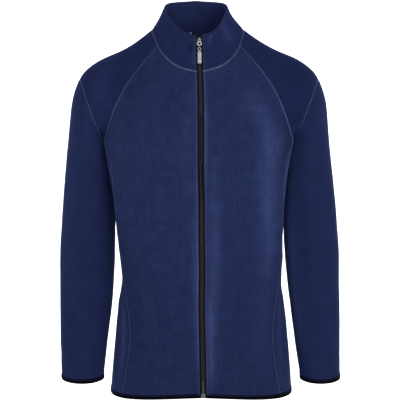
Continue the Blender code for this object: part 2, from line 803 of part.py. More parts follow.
def wire_ring(radius, wire):
    """A ring of wire that stands upright, square to the zip, in a bmesh of its own."""
    shape = bmesh.new()
    rows = []
    for ring in range(RING_FLATS):
        turn = 2 * math.pi * ring / RING_FLATS
        row = []
        for step in range(WIRE_SIDES):
            angle = 2 * math.pi * step / WIRE_SIDES
            reach = radius + wire * math.cos(angle)
            row.append(shape.verts.new((wire * math.sin(angle), reach * math.cos(turn),
                                        reach * math.sin(turn))))
        rows.append(row)
    for ring in range(RING_FLATS):
        ahead = rows[(ring + 1) % RING_FLATS]
        for step in range(WIRE_SIDES):
            beside = (step + 1) % WIRE_SIDES
            shape.faces.new((rows[ring][step], ahead[step], ahead[beside], rows[ring][beside]))
    bmesh.ops.recalc_face_normals(shape, faces=shape.faces)
    return shape


def hard_piece(name, shapes, cuts, look, frame):
    """Shapes given in a local frame, united into one closed body, less the cuts."""
    parts = []
    for shape in shapes + cuts:
        mesh = bpy.data.meshes.new(name)
        shape.to_mesh(mesh)
        shape.free()
        parts.append(place(name + "_part", mesh, look))
    base = parts[0]
    for i, other in enumerate(parts[1:], start=1):
        change = base.modifiers.new("change", "BOOLEAN")
        change.operation = "UNION" if i < len(shapes) else "DIFFERENCE"
        change.object = other
    graph = bpy.context.evaluated_depsgraph_get()
    mesh = bpy.data.meshes.new_from_object(base.evaluated_get(graph))
    for part in parts:
        bpy.data.objects.remove(part, do_unlink=True)
    mesh.materials.clear()
    made = place(name, mesh, look)
    made.matrix_world = frame
    return made


def frame_at(point, normal, down):
    """Local frame on the zip: X across, Y out of the cloth, Z up the zip."""
    up = -down
    across = normal.cross(up).normalized()
    axes = Matrix((across, normal, up)).transposed().to_4x4()
    return Matrix.Translation(point) @ axes


def add_zip(form, looks):
    """Tapes, closed chain and end box."""
    for name, _ in SIDES:
        cloth_piece(form, "zip_tape_" + name, looks["zip"], TAPE_CLOTH, -TAPE_SUNK)
    chain_end = END_BOX_LENGTH + SEAM_GAP
    bar_along(zip_path(form, CHAIN_TOP_INSET, chain_end), "zip_chain", looks["zip"],
              CHAIN_WIDTH, SEAM_GAP, SEAM_GAP + CHAIN_THICK)
    point, normal, down = zip_path(form, 0.0, END_BOX_LENGTH / 2)[-1]
    end_box = box((END_BOX_WIDTH, END_BOX_THICK, END_BOX_LENGTH), (0.0, SEAM_GAP + END_BOX_THICK / 2, 0.0))
    hard_piece("zip_end_box", [end_box], [], looks["grey"], frame_at(point, normal, down))


def add_slider(form, looks):
    """Slider over the chain's top, its crown, and the link and tab that hang from it."""
    point, normal, down = zip_path(form, SLIDER_DROP, 0.0)[0]
    frame = frame_at(point, normal, down)
    plate_low = 2 * SEAM_GAP + CHAIN_THICK
    plate_high = plate_low + SLIDER_PLATE
    flange_x = (SLIDER_WIDTH - SLIDER_PLATE) / 2
    shapes = [box((SLIDER_WIDTH, SLIDER_PLATE, SLIDER_LENGTH), (0.0, plate_low + SLIDER_PLATE / 2, 0.0))]
    for sign in (-1, 1):
        shapes.append(box((SLIDER_PLATE, plate_high - SEAM_GAP, SLIDER_LENGTH),
                          (sign * flange_x, (plate_high + SEAM_GAP) / 2, 0.0)))
    shapes.append(arch(CROWN_LENGTH, CROWN_HEIGHT, CROWN_THICK, CROWN_WIDTH, SLIDER_PLATE / 2,
                       Vector((0.0, plate_high, CROWN_RISE))))
    hard_piece("zip_slider", shapes, [], looks["silver"], frame)

    pin_y = plate_high + (CROWN_HEIGHT - CROWN_THICK) / 2
    crown_hinge = frame @ Matrix.Translation((0.0, pin_y, CROWN_RISE))
    shapes = [disc(LINK_EYE_RADIUS, PULL_THICK, (0.0, 0.0, LINK_EYE)),
              box((LINK_GAP + 2 * LINK_BAR, LINK_BAR, LINK_BAR), (0.0, 0.0, 0.0))]
    leg_length = -LINK_EYE - LINK_EYE_RADIUS + 2 * LINK_BAR
    for sign in (-1, 1):
        shapes.append(box((LINK_BAR, LINK_BAR, leg_length),
                          (sign * (LINK_GAP + LINK_BAR) / 2, 0.0, (LINK_BAR - leg_length) / 2)))
    cuts = [disc(LINK_HOLE_RADIUS, 2 * PULL_THICK, (0.0, 0.0, LINK_EYE))]
    hard_piece("zip_pull_link", shapes, cuts, looks["silver"], crown_hinge)

    rim_middle = LINK_EYE - (LINK_EYE_RADIUS + LINK_HOLE_RADIUS) / 2
    ring_hinge = crown_hinge @ Matrix.Translation((0.0, 0.0, rim_middle))
    tab_end = TAB_START + TAB_LENGTH
    body_start = TAB_START + TAB_TOP_LENGTH
    shapes = [
        box((TAB_WIDTH, PULL_THICK, tab_end - body_start), (0.0, 0.0, -(tab_end + body_start) / 2)),
        box((TAB_TOP_WIDTH, PULL_THICK, body_start - TAB_START + PULL_THICK),
            (0.0, 0.0, -(TAB_START + body_start + PULL_THICK) / 2)),
        wire_ring(RING_RADIUS, RING_WIRE),
    ]
    hole = -(RING_RADIUS + RING_WIRE + TAB_HOLE_RADIUS + SEAM_GAP / 2)
    cuts = [disc(TAB_HOLE_RADIUS, 2 * PULL_THICK, (0.0, 0.0, hole), TAB_HOLE_SIDES)]
    hard_piece("zip_pull_tab", shapes, cuts, looks["silver"], ring_hinge)


def main():
    clear_scene()
    looks = {
        "fleece": material("navy_microfleece", NAVY, 0.9),
        "binding": material("binding", BLACK_BINDING, 0.85),
        "zip": material("zip", BLACK_ZIP, 0.6),
        "silver": material("silver_metal", SILVER, 0.3, 1.0),
        "grey": material("grey_end_box", BOX_GREY, 0.45),
    }
    form = make_form()
    for name, _ in SIDES:
        for piece in ("front_", "side_panel_", "shoulder_", "sleeve_"):
            cloth_piece(form, piece + name, looks["fleece"], CLOTH)
        cloth_piece(form, "cuff_binding_" + name, looks["binding"], BINDING_CLOTH, PROUD)
    cloth_piece(form, "back", looks["fleece"], CLOTH)
    cloth_piece(form, "collar", looks["fleece"], COLLAR_CLOTH)
    cloth_piece(form, "hem_binding", looks["binding"], BINDING_CLOTH, PROUD)
    add_zip(form, looks)
    add_slider(form, looks)


main()
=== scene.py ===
# Microfleece jacket in its worn shape: zipped front, stand collar, raglan shoulder pieces,
# side panels, bound hem and cuffs. Metres, +Z up, front at -Y, the wearer's left at +X.
import json
import math

import bmesh
import bpy
import numpy as np
from mathutils import Matrix, Vector, noise


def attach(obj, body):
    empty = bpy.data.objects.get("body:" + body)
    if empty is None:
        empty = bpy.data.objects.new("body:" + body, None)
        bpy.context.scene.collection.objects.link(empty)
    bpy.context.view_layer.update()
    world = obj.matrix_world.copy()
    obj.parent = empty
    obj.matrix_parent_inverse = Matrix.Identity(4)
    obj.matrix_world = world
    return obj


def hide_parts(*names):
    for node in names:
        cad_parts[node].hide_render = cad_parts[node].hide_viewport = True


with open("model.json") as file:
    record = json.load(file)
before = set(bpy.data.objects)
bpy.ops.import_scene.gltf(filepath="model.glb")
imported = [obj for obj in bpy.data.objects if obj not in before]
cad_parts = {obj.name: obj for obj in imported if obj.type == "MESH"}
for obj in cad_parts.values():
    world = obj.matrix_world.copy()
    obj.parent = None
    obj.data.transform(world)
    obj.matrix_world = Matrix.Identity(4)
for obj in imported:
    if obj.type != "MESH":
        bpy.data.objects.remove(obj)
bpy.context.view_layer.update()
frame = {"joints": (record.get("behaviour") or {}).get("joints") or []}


# Form of the jacket, the same as the CAD pieces have

def smoothTable(names, *rows):
    # a short table that reads as smooth curves over its first column, with no overshoot
    rows = np.array(sorted(rows), float)
    knots = rows[:, 0]
    steps = np.diff(knots)
    curves = {}
    for name, values in zip(names.split()[1:], rows.T[1:]):
        slopes = np.diff(values) / steps
        tangents = np.zeros(len(knots))
        tangents[0], tangents[-1] = slopes[0], slopes[-1]
        for i in range(1, len(knots) - 1):
            if slopes[i - 1] * slopes[i] > 0:
                before, after = 2 * steps[i] + steps[i - 1], steps[i] + 2 * steps[i - 1]
                tangents[i] = (before + after) / (before / slopes[i - 1] + after / slopes[i])
        curves[name] = (values, tangents)

    def read(name, at):
        values, tangents = curves[name]
        at = np.clip(at, knots[0], knots[-1])
        i = np.clip(np.searchsorted(knots, at, side="right") - 1, 0, len(steps) - 1)
        t = (at - knots[i]) / steps[i]
        return ((2 * t**3 - 3 * t**2 + 1) * values[i] + (t**3 - 2 * t**2 + t) * steps[i] * tangents[i]
                + (3 * t**2 - 2 * t**3) * values[i + 1] + (t**3 - t**2) * steps[i] * tangents[i + 1])
    return read


# rings of the body: depths before and behind the zero line, where the side panel's seams lie, and how far
# forward the body is widest, so that the sleeves hang against it and behind its edge
bodyRings = smoothTable(
    "z halfWidth front back squareness seam sideY",
    (-0.71, 0.1815, 0.125, 0.114, 2.75, 0.88, 0),
    (-0.645, 0.1768, 0.121, 0.113, 2.45, 0.832, 0),
    (-0.6, 0.1728, 0.118, 0.109, 2.4, 0.816, 0),
    (-0.55, 0.1682, 0.115, 0.102, 2.35, 0.848, 0),
    (-0.508, 0.1634, 0.113, 0.095, 2.3, 0.912, 0),
    (-0.472, 0.1603, 0.113, 0.089, 2.3, 0.968, -0.004),
    (-0.424, 0.1629, 0.115, 0.09, 2.3, 0.984, -0.016),
    (-0.339, 0.1682, 0.119, 0.098, 2.35, 0.986, -0.032),
    (-0.274, 0.175, 0.121, 0.108, 2.4, 0.972, -0.034),
    (-0.246, 0.1802, 0.121, 0.112, 2.4, 0.964, -0.033),
    (-0.212, 0.1868, 0.12, 0.115, 2.4, 0.972, -0.026),
    (-0.2035, 0.1895, 0.119, 0.116, 2.4, 0.984, -0.012))
frontLine = smoothTable("z y", (-0.2035, -0.119), (-0.16, -0.1145), (-0.12, -0.1065), (-0.067, -0.093))
backLine = smoothTable("z y", (-0.2035, 0.116), (-0.15, 0.1165), (-0.09, 0.108), (-0.03, 0.089),
                       (0.018, 0.068))
raglanSeam = smoothTable("up x z", (0, 0.1865, -0.2035), (0.22, 0.1765, -0.165), (0.45, 0.16, -0.1235),
                         (0.7, 0.135, -0.078), (1, 0.0815, -0.0145))
shoulderTop = smoothTable("x z y", (0.0915, 0.02, 0), (0.108, 0.0078, 0.001), (0.1341, -0.0106, 0.002),
                          (0.17, -0.0281, 0.004), (0.1996, -0.0415, 0.005), (0.2211, -0.0566, 0.006),
                          (0.238, -0.0775, 0.006))
# rings of the sleeve, ovals between the side next to the body and the side away from it
sleeveRings = smoothTable(
    "along innerX innerZ outerX outerZ middleY halfDepth rightEase",
    (0, 0.1895, -0.2035, 0.238, -0.0775, 0.006, 0.064, 0),
    (0.044, 0.1868, -0.215, 0.25, -0.104, 0.011, 0.066, 0),
    (0.113, 0.1802, -0.238, 0.2565, -0.145, 0.014, 0.0675, 0),
    (0.213, 0.1728, -0.276, 0.262, -0.205, 0.016, 0.068, 0),
    (0.344, 0.1676, -0.334, 0.2695, -0.284, 0.018, 0.0665, 0),
    (0.484, 0.1698, -0.4, 0.2765, -0.368, 0.019, 0.063, 0.0005),
    (0.613, 0.1735, -0.456, 0.2802, -0.445, 0.016, 0.059, 0.003),
    (0.729, 0.1803, -0.52, 0.2802, -0.515, 0.006, 0.053, 0.0052),
    (0.866, 0.1892, -0.598, 0.2792, -0.596, -0.01, 0.045, 0.0042),
    (1, 0.198, -0.6685, 0.2768, -0.6685, -0.026, 0.037, 0.0048))
neckLine = smoothTable("angle neckZ topZ", (0, -0.067, 0.003), (27, -0.055, 0.015), (45, -0.0373, 0.0285),
                       (61, -0.0168, 0.045), (75, 0.0044, 0.057), (90, 0.02, 0.066),
                       (125, 0.02, 0.0755), (180, 0.018, 0.0805))
# how the worn jacket leans to one side, and how the zip runs against that
lean = smoothTable("z body sleeve zip", (-0.7, 0.0035, 0.003, 0.004), (-0.59, 0.0037, 0.0015, 0.0018),
                   (-0.51, 0.004, 0.0005, 0.0003), (-0.47, 0.0042, 0.0002, 0.0008),
                   (-0.38, 0.0006, 0, 0.0035), (-0.32, -0.0006, -0.0006, 0.0046),
                   (-0.25, -0.002, -0.002, 0.0048), (-0.1, -0.001, -0.001, 0.0032),
                   (-0.04, -0.0006, -0.0006, 0.0004), (0.02, -0.0034, -0.0034, 0.0022),
                   (0.056, -0.007, -0.007, 0.0022), (0.08, -0.0072, -0.0072, 0.0022))

form = {
    "frontColumns": 8, "sideColumns": 4, "raglanRows": 6, "neckColumns": 4,
    "bodyRows": 14, "capRows": 6, "sleeveRows": 15, "collarRows": 3,
    "zipCrowding": 1.10, "underarmCrowding": 0.16, "shoulderCrowding": 1.15,
    "smoothingRounds": 2, "shortestEdge": 0.004,
    "hemZ": -0.6960, "underarmZ": -0.2035, "bindingHeight": 0.005, "zipHalfWidth": 0.006,
    "backRaglanRise": 0.022, "underarmAngle": 28, "cuffFrontDrop": 0.0078, "cuffDropStart": 0.7,
    "hemDip": 0.005, "hemDipHeight": 0.12,
    "neckHalfWidth": 0.0915, "neckFront": 0.0930, "neckBack": 0.0680,
    "topHalfWidth": 0.0625, "topFront": 0.0700, "topBack": 0.0620,
    "collarHollow": 0.003, "frontRaglanAngle": 63, "backRaglanAngle": 122,
}
nFront, nSide, nNeck = (form[k] for k in ("frontColumns", "sideColumns", "neckColumns"))
nBody, nRaglan, nCap, nSleeve, nCollar = (
    form[k] for k in ("bodyRows", "raglanRows", "capRows", "sleeveRows", "collarRows"))
nRing = nSide + 2 * nRaglan + nNeck
nTop = nBody + nRaglan
sides = (("left", 1), ("right", -1))


def mix(start, end, part):
    return start + (end - start) * part


def bodyPoint(z, side, angle):
    power = 2 / bodyRings("squareness", z)
    middle = bodyRings("sideY", z)
    reach = bodyRings("back", z) - middle if angle > math.pi / 2 else -bodyRings("front", z) - middle
    x = bodyRings("halfWidth", z) * abs(math.sin(angle)) ** power
    return Vector((side * x, middle + reach * abs(math.cos(angle)) ** power, z))


def bodyAngle(z, x):
    return math.asin(min(1, (abs(x) / bodyRings("halfWidth", z)) ** (bodyRings("squareness", z) / 2)))


def zipEdge(z, side):
    return lean("zip", z) + side * form["zipHalfWidth"]


def bodyRing(z, side):
    seam = bodyAngle(z, bodyRings("seam", z) * bodyRings("halfWidth", z))
    edge = bodyAngle(z, zipEdge(z, side))
    stops = [mix(edge, seam, (j / nFront) ** form["zipCrowding"]) for j in range(nFront)]
    stops += [mix(seam, math.pi - seam, j / nSide) for j in range(nSide)]
    stops += [mix(math.pi - seam, math.pi, j / nFront) for j in range(nFront + 1)]
    points = [bodyPoint(z, side, stop) for stop in stops]
    points[0].x = zipEdge(z, side)
    fade = max(0, 1 - (z - form["hemZ"]) / form["hemDipHeight"])
    for point, stop in zip(points, stops):
        point.z -= form["hemDip"] * fade**2 * max(0, math.sin(2 * stop))
    return points


def neckPoint(side, angle, up):
    degrees = math.degrees(angle)
    front = degrees <= 90
    seam = Vector((form["neckHalfWidth"] * math.sin(angle),
                   -math.cos(angle) * form["neckFront" if front else "neckBack"], neckLine("neckZ", degrees)))
    top = Vector((form["topHalfWidth"] * math.sin(angle),
                  -math.cos(angle) * form["topFront" if front else "topBack"], neckLine("topZ", degrees)))
    inward = Vector((-math.sin(angle), math.cos(angle), 0))
    point = seam.lerp(top, up)
    point += inward * form["collarHollow"] * math.sin(math.pi * up) * math.sin(angle / 2) ** 0.5
    point.x *= side
    return point


def neckRing(side, up):
    halfWidth = mix(form["neckHalfWidth"], form["topHalfWidth"], up)
    height = mix(neckLine("neckZ", 0), neckLine("topZ", 0), up)
    edge = math.asin(abs(zipEdge(height, side)) / halfWidth)
    front, back = math.radians(form["frontRaglanAngle"]), math.radians(form["backRaglanAngle"])
    stops = [mix(edge, front, j / nFront) for j in range(nFront)]
    stops += [mix(front, back, j / nNeck) for j in range(nNeck)]
    stops += [mix(back, math.pi, j / nFront) for j in range(nFront + 1)]
    points = [neckPoint(side, stop, up) for stop in stops]
    points[0].x = zipEdge(height, side)
    return points


def sleeveAngles():
    underarm = math.radians(form["underarmAngle"])
    rest = 2 * nRaglan + nNeck
    return ([mix(-underarm, underarm, i / nSide) for i in range(nSide)]
            + [mix(underarm, 2 * math.pi - underarm, i / rest) for i in range(rest)])


def sleevePoint(side, along, angle):
    ease = sleeveRings("rightEase", along) if side < 0 else 0
    inner = Vector((sleeveRings("innerX", along) - ease, 0, sleeveRings("innerZ", along)))
    outer = Vector((sleeveRings("outerX", along), 0, sleeveRings("outerZ", along)))
    middle = (inner + outer) / 2
    point = middle + (inner - middle) * math.cos(angle)
    point.y = sleeveRings("middleY", along) + sleeveRings("halfDepth", along) * math.sin(angle)
    late = max(0, along - form["cuffDropStart"]) / (1 - form["cuffDropStart"])
    point.z += form["cuffFrontDrop"] * math.sin(angle) * late
    point.x *= side
    return point


class Net:
    # the outer face of the whole jacket as one net of quads, each with its piece and its place there
    def __init__(self):
        self.keys, self.points, self.held, self.arm, self.faces, self.sharp = {}, [], [], [], [], set()

    def add(self, key, point, held="xyz", arm=0.0):
        if key not in self.keys:
            self.keys[key] = len(self.points)
            self.points.append(Vector(point))
            self.held.append(held)
            self.arm.append(arm)

    def patch(self, piece, side, key, row, column, place):
        corners = [(row, column), (row, column + 1), (row + 1, column + 1), (row + 1, column)]
        if side < 0:
            corners.reverse()
        self.faces.append((piece, [self.keys[key(r, side, c)] for r, c in corners],
                           [place(r, c) for r, c in corners]))


def bodyKey(row, side, column):
    return ("body", row, 0 if column == 2 * nFront + nSide else side, column)


def collarKey(row, side, column):
    if row == 0 and column <= nFront:
        return bodyKey(nTop, side, column)
    if row == 0 and column >= nFront + nNeck:
        return bodyKey(nTop, side, column - nNeck + nSide)
    return ("collar", row, 0 if column == 2 * nFront + nNeck else side, column)


def sleeveKey(row, side, column):
    column %= nRing
    if row > 0:
        return ("sleeve", row, side, column)
    if column <= nSide:
        return bodyKey(nBody, side, nFront + column)
    column -= nSide
    if column <= nRaglan:
        return bodyKey(nBody + column, side, nFront + nSide)
    column -= nRaglan
    if column < nNeck:
        return collarKey(0, side, nFront + nNeck - column)
    return bodyKey(nTop - (column - nNeck), side, nFront)


def zipKey(row, side, column):
    if column == 0:
        return ("zip", row)
    return bodyKey(row, side, 0) if row <= nTop else collarKey(row - nTop, side, 0)


def addBody(net):
    for row in range(-1, nBody + 1):
        part = row / nBody
        z = form["hemZ"] - form["bindingHeight"]
        if row >= 0:
            z = mix(form["hemZ"], form["underarmZ"], part + form["underarmCrowding"] * part**2 * (1 - part))
        for _, side in sides:
            for column, point in enumerate(bodyRing(z, side)):
                net.add(bodyKey(row, side, column), point)
        middle = bodyPoint(z, 1, bodyAngle(z, lean("zip", z)))
        middle.x = lean("zip", z)
        net.add(("zip", row), middle)


def addYoke(net):
    # front and back above the underarm, up to the neck seam
    for _, side in sides:
        under, neck = bodyRing(form["underarmZ"], side), neckRing(side, 0)
        for row in range(1, nRaglan):
            up = row / nRaglan
            seamX, seamZ = raglanSeam("x", up), raglanSeam("z", up)
            for column in range(nFront + 1):
                backColumn = nFront + nSide + column
                front = under[column].lerp(neck[column], up)
                back = under[backColumn].lerp(neck[nFront + nNeck + column], up)
                frontHeld = backHeld = ""
                if column == 0:
                    front.x = zipEdge(front.z, side)
                    front.y = frontLine("y", front.z)
                    frontHeld = "xyz"
                    back = Vector((side * seamX, back.y, seamZ + form["backRaglanRise"] * up**2))
                    backHeld = "xz"
                if column == nFront:
                    front = Vector((side * seamX, front.y, seamZ))
                    frontHeld = "xz"
                    back.x = 0
                    back.y = backLine("y", back.z)
                    backHeld = "xyz"
                net.add(bodyKey(nBody + row, side, column), front, frontHeld)
                net.add(bodyKey(nBody + row, side, backColumn), back, backHeld)
            z = net.points[net.keys[bodyKey(nBody + row, side, 0)]].z
            net.add(("zip", nBody + row), (lean("zip", z), frontLine("y", z), z))
        for column in range(nFront + 1):
            net.add(bodyKey(nTop, side, column), neck[column])
            net.add(bodyKey(nTop, side, nFront + nSide + column), neck[nFront + nNeck + column])


def addCollar(net):
    for row in range(nCollar + 1):
        up = row / nCollar
        for _, side in sides:
            for column, point in enumerate(neckRing(side, up)):
                net.add(collarKey(row, side, column), point)
        middle = neckPoint(1, 0, up)
        middle.x = lean("zip", middle.z)
        net.add(("zip", nTop + row), middle)


def addSleeves(net):
    # shoulder piece from the raglan seams to the sleeve seam, then the sleeve and its cuff
    angles = sleeveAngles()
    for _, side in sides:
        for row in range(1, nCap):
            part = row / nCap
            for column, angle in enumerate(angles):
                start = net.points[net.keys[sleeveKey(0, side, column)]]
                point, held = start.lerp(sleevePoint(side, 0, angle), part), ""
                if column == nSide + nRaglan + nNeck // 2:
                    crowded = 1 - (1 - part) ** form["shoulderCrowding"]
                    x = mix(form["neckHalfWidth"], float(sleeveRings("outerX", 0)), crowded)
                    point, held = Vector((side * x, shoulderTop("y", x), shoulderTop("z", x))), "xyz"
                net.add(sleeveKey(row, side, column), point, held, part)
        for row in range(nSleeve + 1):
            for column, angle in enumerate(angles):
                net.add(sleeveKey(nCap + row, side, column), sleevePoint(side, row / nSleeve, angle), arm=1)
        for column in range(nRing):
            cuff = net.points[net.keys[sleeveKey(nCap + nSleeve, side, column)]]
            lower = cuff - Vector((0, 0, form["bindingHeight"]))
            net.add(sleeveKey(nCap + nSleeve + 1, side, column), lower, arm=1)


def addFaces(net):
    for name, side in sides:
        far = (lambda last: lambda c: c if side > 0 else last - c)
        for row in range(-1, nTop):
            for column in range(2 * nFront + nSide):
                onSide = nFront <= column < nFront + nSide
                if row >= nBody and onSide:
                    continue
                if row < 0:
                    turn = far(4 * nFront + 2 * nSide)
                    net.patch("hem_binding", side, bodyKey, row, column, lambda r, c: (turn(c), r + 1))
                elif column < nFront:
                    net.patch("front_" + name, side, bodyKey, row, column, lambda r, c: (c, r))
                elif onSide:
                    net.patch("side_panel_" + name, side, bodyKey, row, column, lambda r, c: (c - nFront, r))
                else:
                    turn = far(2 * nFront)
                    net.patch("back", side, bodyKey, row, column,
                              lambda r, c: (turn(c - nFront - nSide), r))
        for row in range(nCollar):
            for column in range(2 * nFront + nNeck):
                turn = far(4 * nFront + 2 * nNeck)
                net.patch("collar", side, collarKey, row, column, lambda r, c: (turn(c), r))
        for row in range(nCap + nSleeve + 1):
            piece, first = ("shoulder_", 0) if row < nCap else ("sleeve_", nCap)
            if row == nCap + nSleeve:
                piece, first = "cuff_binding_", row
            for column in range(nRing):
                net.patch(piece + name, side, sleeveKey, row, column, lambda r, c: (c, r - first))
        for row in range(-1, nTop + nCollar):
            net.patch("zip_tape_" + name, side, zipKey, row, 0, lambda r, c: (c, r + 1))


def drawSmooth(net):
    # moves the points that nothing holds to the smoothest surface through the held ones
    beside = [set() for _ in net.points]
    for _, corners, _ in net.faces:
        for i, corner in enumerate(corners):
            beside[corner].add(corners[i - 1])
            beside[corners[i - 1]].add(corner)
    free = [[i for i, held in enumerate(net.held) if axis not in held] for axis in "xyz"]
    loose = {i for axis in free for i in axis}
    bending = [i for i in range(len(net.points))
               if i not in net.sharp and (i in loose or any(j in loose for j in beside[i]))]
    for _ in range(form["smoothingRounds"]):
        places = np.array(net.points)
        rows = np.zeros((len(bending), len(net.points)))
        for row, i in enumerate(bending):
            lengths = {j: (net.points[i] - net.points[j]).length for j in beside[i]}
            weights = {j: 1 / max(form["shortestEdge"], length) for j, length in lengths.items()}
            total = sum(weights.values())
            rows[row, i] = -1
            for j, weight in weights.items():
                rows[row, j] = weight / total
        for axis in range(3):
            moving = free[axis]
            inMoving = set(moving)
            still = [i for i in range(len(net.points)) if i not in inMoving]
            solved = np.linalg.lstsq(rows[:, moving], -rows[:, still] @ places[still, axis], rcond=None)[0]
            for i, value in zip(moving, solved):
                net.points[i][axis] = float(value)


def makeNet():
    net = Net()
    addBody(net)
    addYoke(net)
    addCollar(net)
    addSleeves(net)
    addFaces(net)
    under = [bodyKey(nBody, side, nFront + column) for _, side in sides for column in range(nSide + 1)]
    net.sharp = {net.keys[key] for key in neckKeys() + under + [("zip", nTop)]}
    drawSmooth(net)
    for i, point in enumerate(net.points):
        point.x += mix(lean("body", point.z), lean("sleeve", point.z), net.arm[i])
    return net


# Fine surface: a subdivided cage that passes through the net's points, then one grid for each piece

surface = {"levels": 3, "rounds": 4, "pull": 0.9, "neckCrease": 0.55}


def straighten(points, normals, grids, step):
    # the narrow bound edges run straight from their seam to their own edge
    for name, index in grids.items():
        if name.startswith("cuff"):
            strip = index
        elif name.startswith(("hem", "zip")):
            strip = index[:step + 1][::-1]
        else:
            continue
        for i in range(1, step):
            points[strip[i]] = mix(points[strip[0]], points[strip[-1]], i / step)
        normals[strip[1:]] = normals[strip[0]]


def readValues(items, label, width=1, kind=float):
    # one value, or one row of values, for each item of a mesh
    values = np.empty(len(items) * width, kind)
    items.foreach_get(label, values)
    return values.reshape(-1, width) if width > 1 else values


def neckKeys():
    return [collarKey(0, side, column) for _, side in sides for column in range(2 * nFront + nNeck + 1)]


def refine(net):
    mesh = bpy.data.meshes.new("cage")
    mesh.from_pydata([tuple(p) for p in net.points], [], [corners for _, corners, _ in net.faces])
    names = sorted({piece for piece, _, _ in net.faces})
    mesh.polygons.foreach_set("material_index", [names.index(piece) for piece, _, _ in net.faces])
    for _ in names:
        mesh.materials.append(None)
    flat = [value for _, _, corners in net.faces for place in corners for value in place]
    mesh.uv_layers.new(name="place").data.foreach_set("uv", flat)
    mesh.attributes.new("arm", "FLOAT", "POINT").data.foreach_set("value", net.arm)
    neck = {net.keys[key] for key in neckKeys() + [("zip", nTop)]}
    crease = mesh.attributes.new("crease_edge", "FLOAT", "EDGE")
    for edge in mesh.edges:
        if edge.vertices[0] in neck and edge.vertices[1] in neck:
            crease.data[edge.index].value = surface["neckCrease"]
    cage = bpy.data.objects.new("cage", mesh)
    bpy.context.scene.collection.objects.link(cage)
    finer = cage.modifiers.new("finer", "SUBSURF")
    finer.levels = finer.render_levels = surface["levels"]
    finer.uv_smooth = "NONE"
    finer.boundary_smooth = "PRESERVE_CORNERS"
    target = np.array(net.points)
    held = target.copy()
    count = len(target)

    def subdivided():
        bpy.context.view_layer.update()
        return cage.evaluated_get(bpy.context.evaluated_depsgraph_get()).to_mesh()

    for _ in range(surface["rounds"]):
        held += surface["pull"] * (target - readValues(subdivided().vertices, "co", 3)[:count])
        mesh.vertices.foreach_set("co", held.ravel())
        mesh.update()
    fine = subdivided()
    points, normals = readValues(fine.vertices, "co", 3), readValues(fine.vertex_normals, "vector", 3)
    arms = readValues(fine.attributes["arm"].data, "value")
    corner = readValues(fine.loops, "vertex_index", 1, int)
    uv = readValues(fine.uv_layers["place"].data, "uv", 2)
    pieceOf = readValues(fine.polygons, "material_index", 1, int)
    print("cage passes within", round(float(np.abs(points[:count] - target).max()) * 1000, 3), "mm")
    step = 2 ** surface["levels"]
    grids = {}
    for i, name in enumerate(names):
        mine = np.repeat(pieceOf == i, 4)
        place = np.rint(uv[mine] * step).astype(int)
        grid = -np.ones((place[:, 1].max() + 1, place[:, 0].max() + 1), int)
        grid[place[:, 1], place[:, 0]] = corner[mine]
        grids[name] = grid
    straighten(points, normals, grids, step)
    bpy.data.objects.remove(cage, do_unlink=True)
    return {"points": points, "normals": normals, "arm": arms, "grids": grids, "step": step}


net = makeNet()
fine = refine(net)
print("form: %d points, %d pieces" % (len(fine["points"]), len(fine["grids"])))


# Cloth: each piece keeps its own edges, and its relief is worked out from the distance to them

# how the cloth is shaped beside each kind of edge: rises as height, distance and width, puckers, and the
# painted highlight on the ridge beside it: how much lighter, how far in and how wide
edgeLooks = {
    "seam": {"rises": [(0.00035, 0.0068, 0.0022)], "pucker": 0.00028, "reach": 0.008, "size": 0.0075,
             "stretch": (1, 1, 1), "shift": 5.1},
    "zip": {"rises": [(0.0009, 0.003, 0.0021), (-0.0006, 0.0066, 0.0013), (0.0005, 0.01, 0.0024)],
            "pucker": 0.0004, "reach": 0.014, "size": 0.0085, "stretch": (0.35, 0.35, 1), "shift": 8.3,
            "paintedRidgeHighlight": (1.0, 0.0022, 0.0014)},
    "bound": {"rises": [(0.0007, 0.004, 0.0017)], "pucker": 0.0004, "reach": 0.01, "size": 0.009,
              "stretch": (1, 1, 1), "shift": 2.2, "paintedRidgeHighlight": (0.22, 0.0036, 0.0011)},
}
seamDip = {"depth": 0.00045, "flat": 0.0024, "rise": 0.0028}
waves = {"wide": 0.0009, "wideSize": 0.09, "wideShift": 3.7,
         "small": 0.0003, "smallSize": 0.03, "smallShift": 11.2,
         "zipCalm": (0.006, 0.035), "behind": (-0.03, 0.02)}
edgeLines = np.array([0.15, 0.5, 1.0, 1.7, 2.5, 3.4, 4.4, 5.5, 6.6, 7.9, 9.6, 12.0]) / 1000
edgeSpare = 0.4   # the free part of a grid step between those lines and the grid's own

# the edges at the first and last row, then at the first and last column; None where the cloth runs on round
clothPieces = {name: edges for names, edges in (
    ("front_left front_right", ("bound", "seam", "zip", "seam")),
    ("back side_panel_left side_panel_right", ("bound", "seam", "seam", "seam")),
    ("shoulder_left shoulder_right", ("seam", "seam", None, None)),
    ("sleeve_left sleeve_right", ("seam", "bound", "seam", "seam")),
    ("collar", ("seam", "free", "zip", "zip"))) for name in names.split()}
thickness = {"cloth": 0.002, "collar": 0.0026}


def bump(at, middle, width):
    return np.exp(-((at - middle) / width) ** 2)


def smoothStep(start, end, at):
    t = np.clip((at - start) / (end - start), 0, 1)
    return t * t * (3 - 2 * t)


def unit(vectors):
    return vectors / np.maximum(np.linalg.norm(vectors, axis=-1, keepdims=True), 1e-12)


def noiseAt(points, size, shift=0.0):
    flat = points.reshape(-1, 3) / size + shift
    return np.array([noise.noise(p) for p in flat.tolist()]).reshape(points.shape[:-1])


def sampled(grid, rows, columns):
    # values of a grid between its lines
    r = np.minimum(rows.astype(int), grid.shape[0] - 2)
    c = np.minimum(columns.astype(int), grid.shape[1] - 2)
    fr, fc = (rows - r)[:, None, None], (columns - c)[None, :, None]
    low = grid[r][:, c] * (1 - fc) + grid[r][:, c + 1] * fc
    high = grid[r + 1][:, c] * (1 - fc) + grid[r + 1][:, c + 1] * fc
    return low * (1 - fr) + high * fr


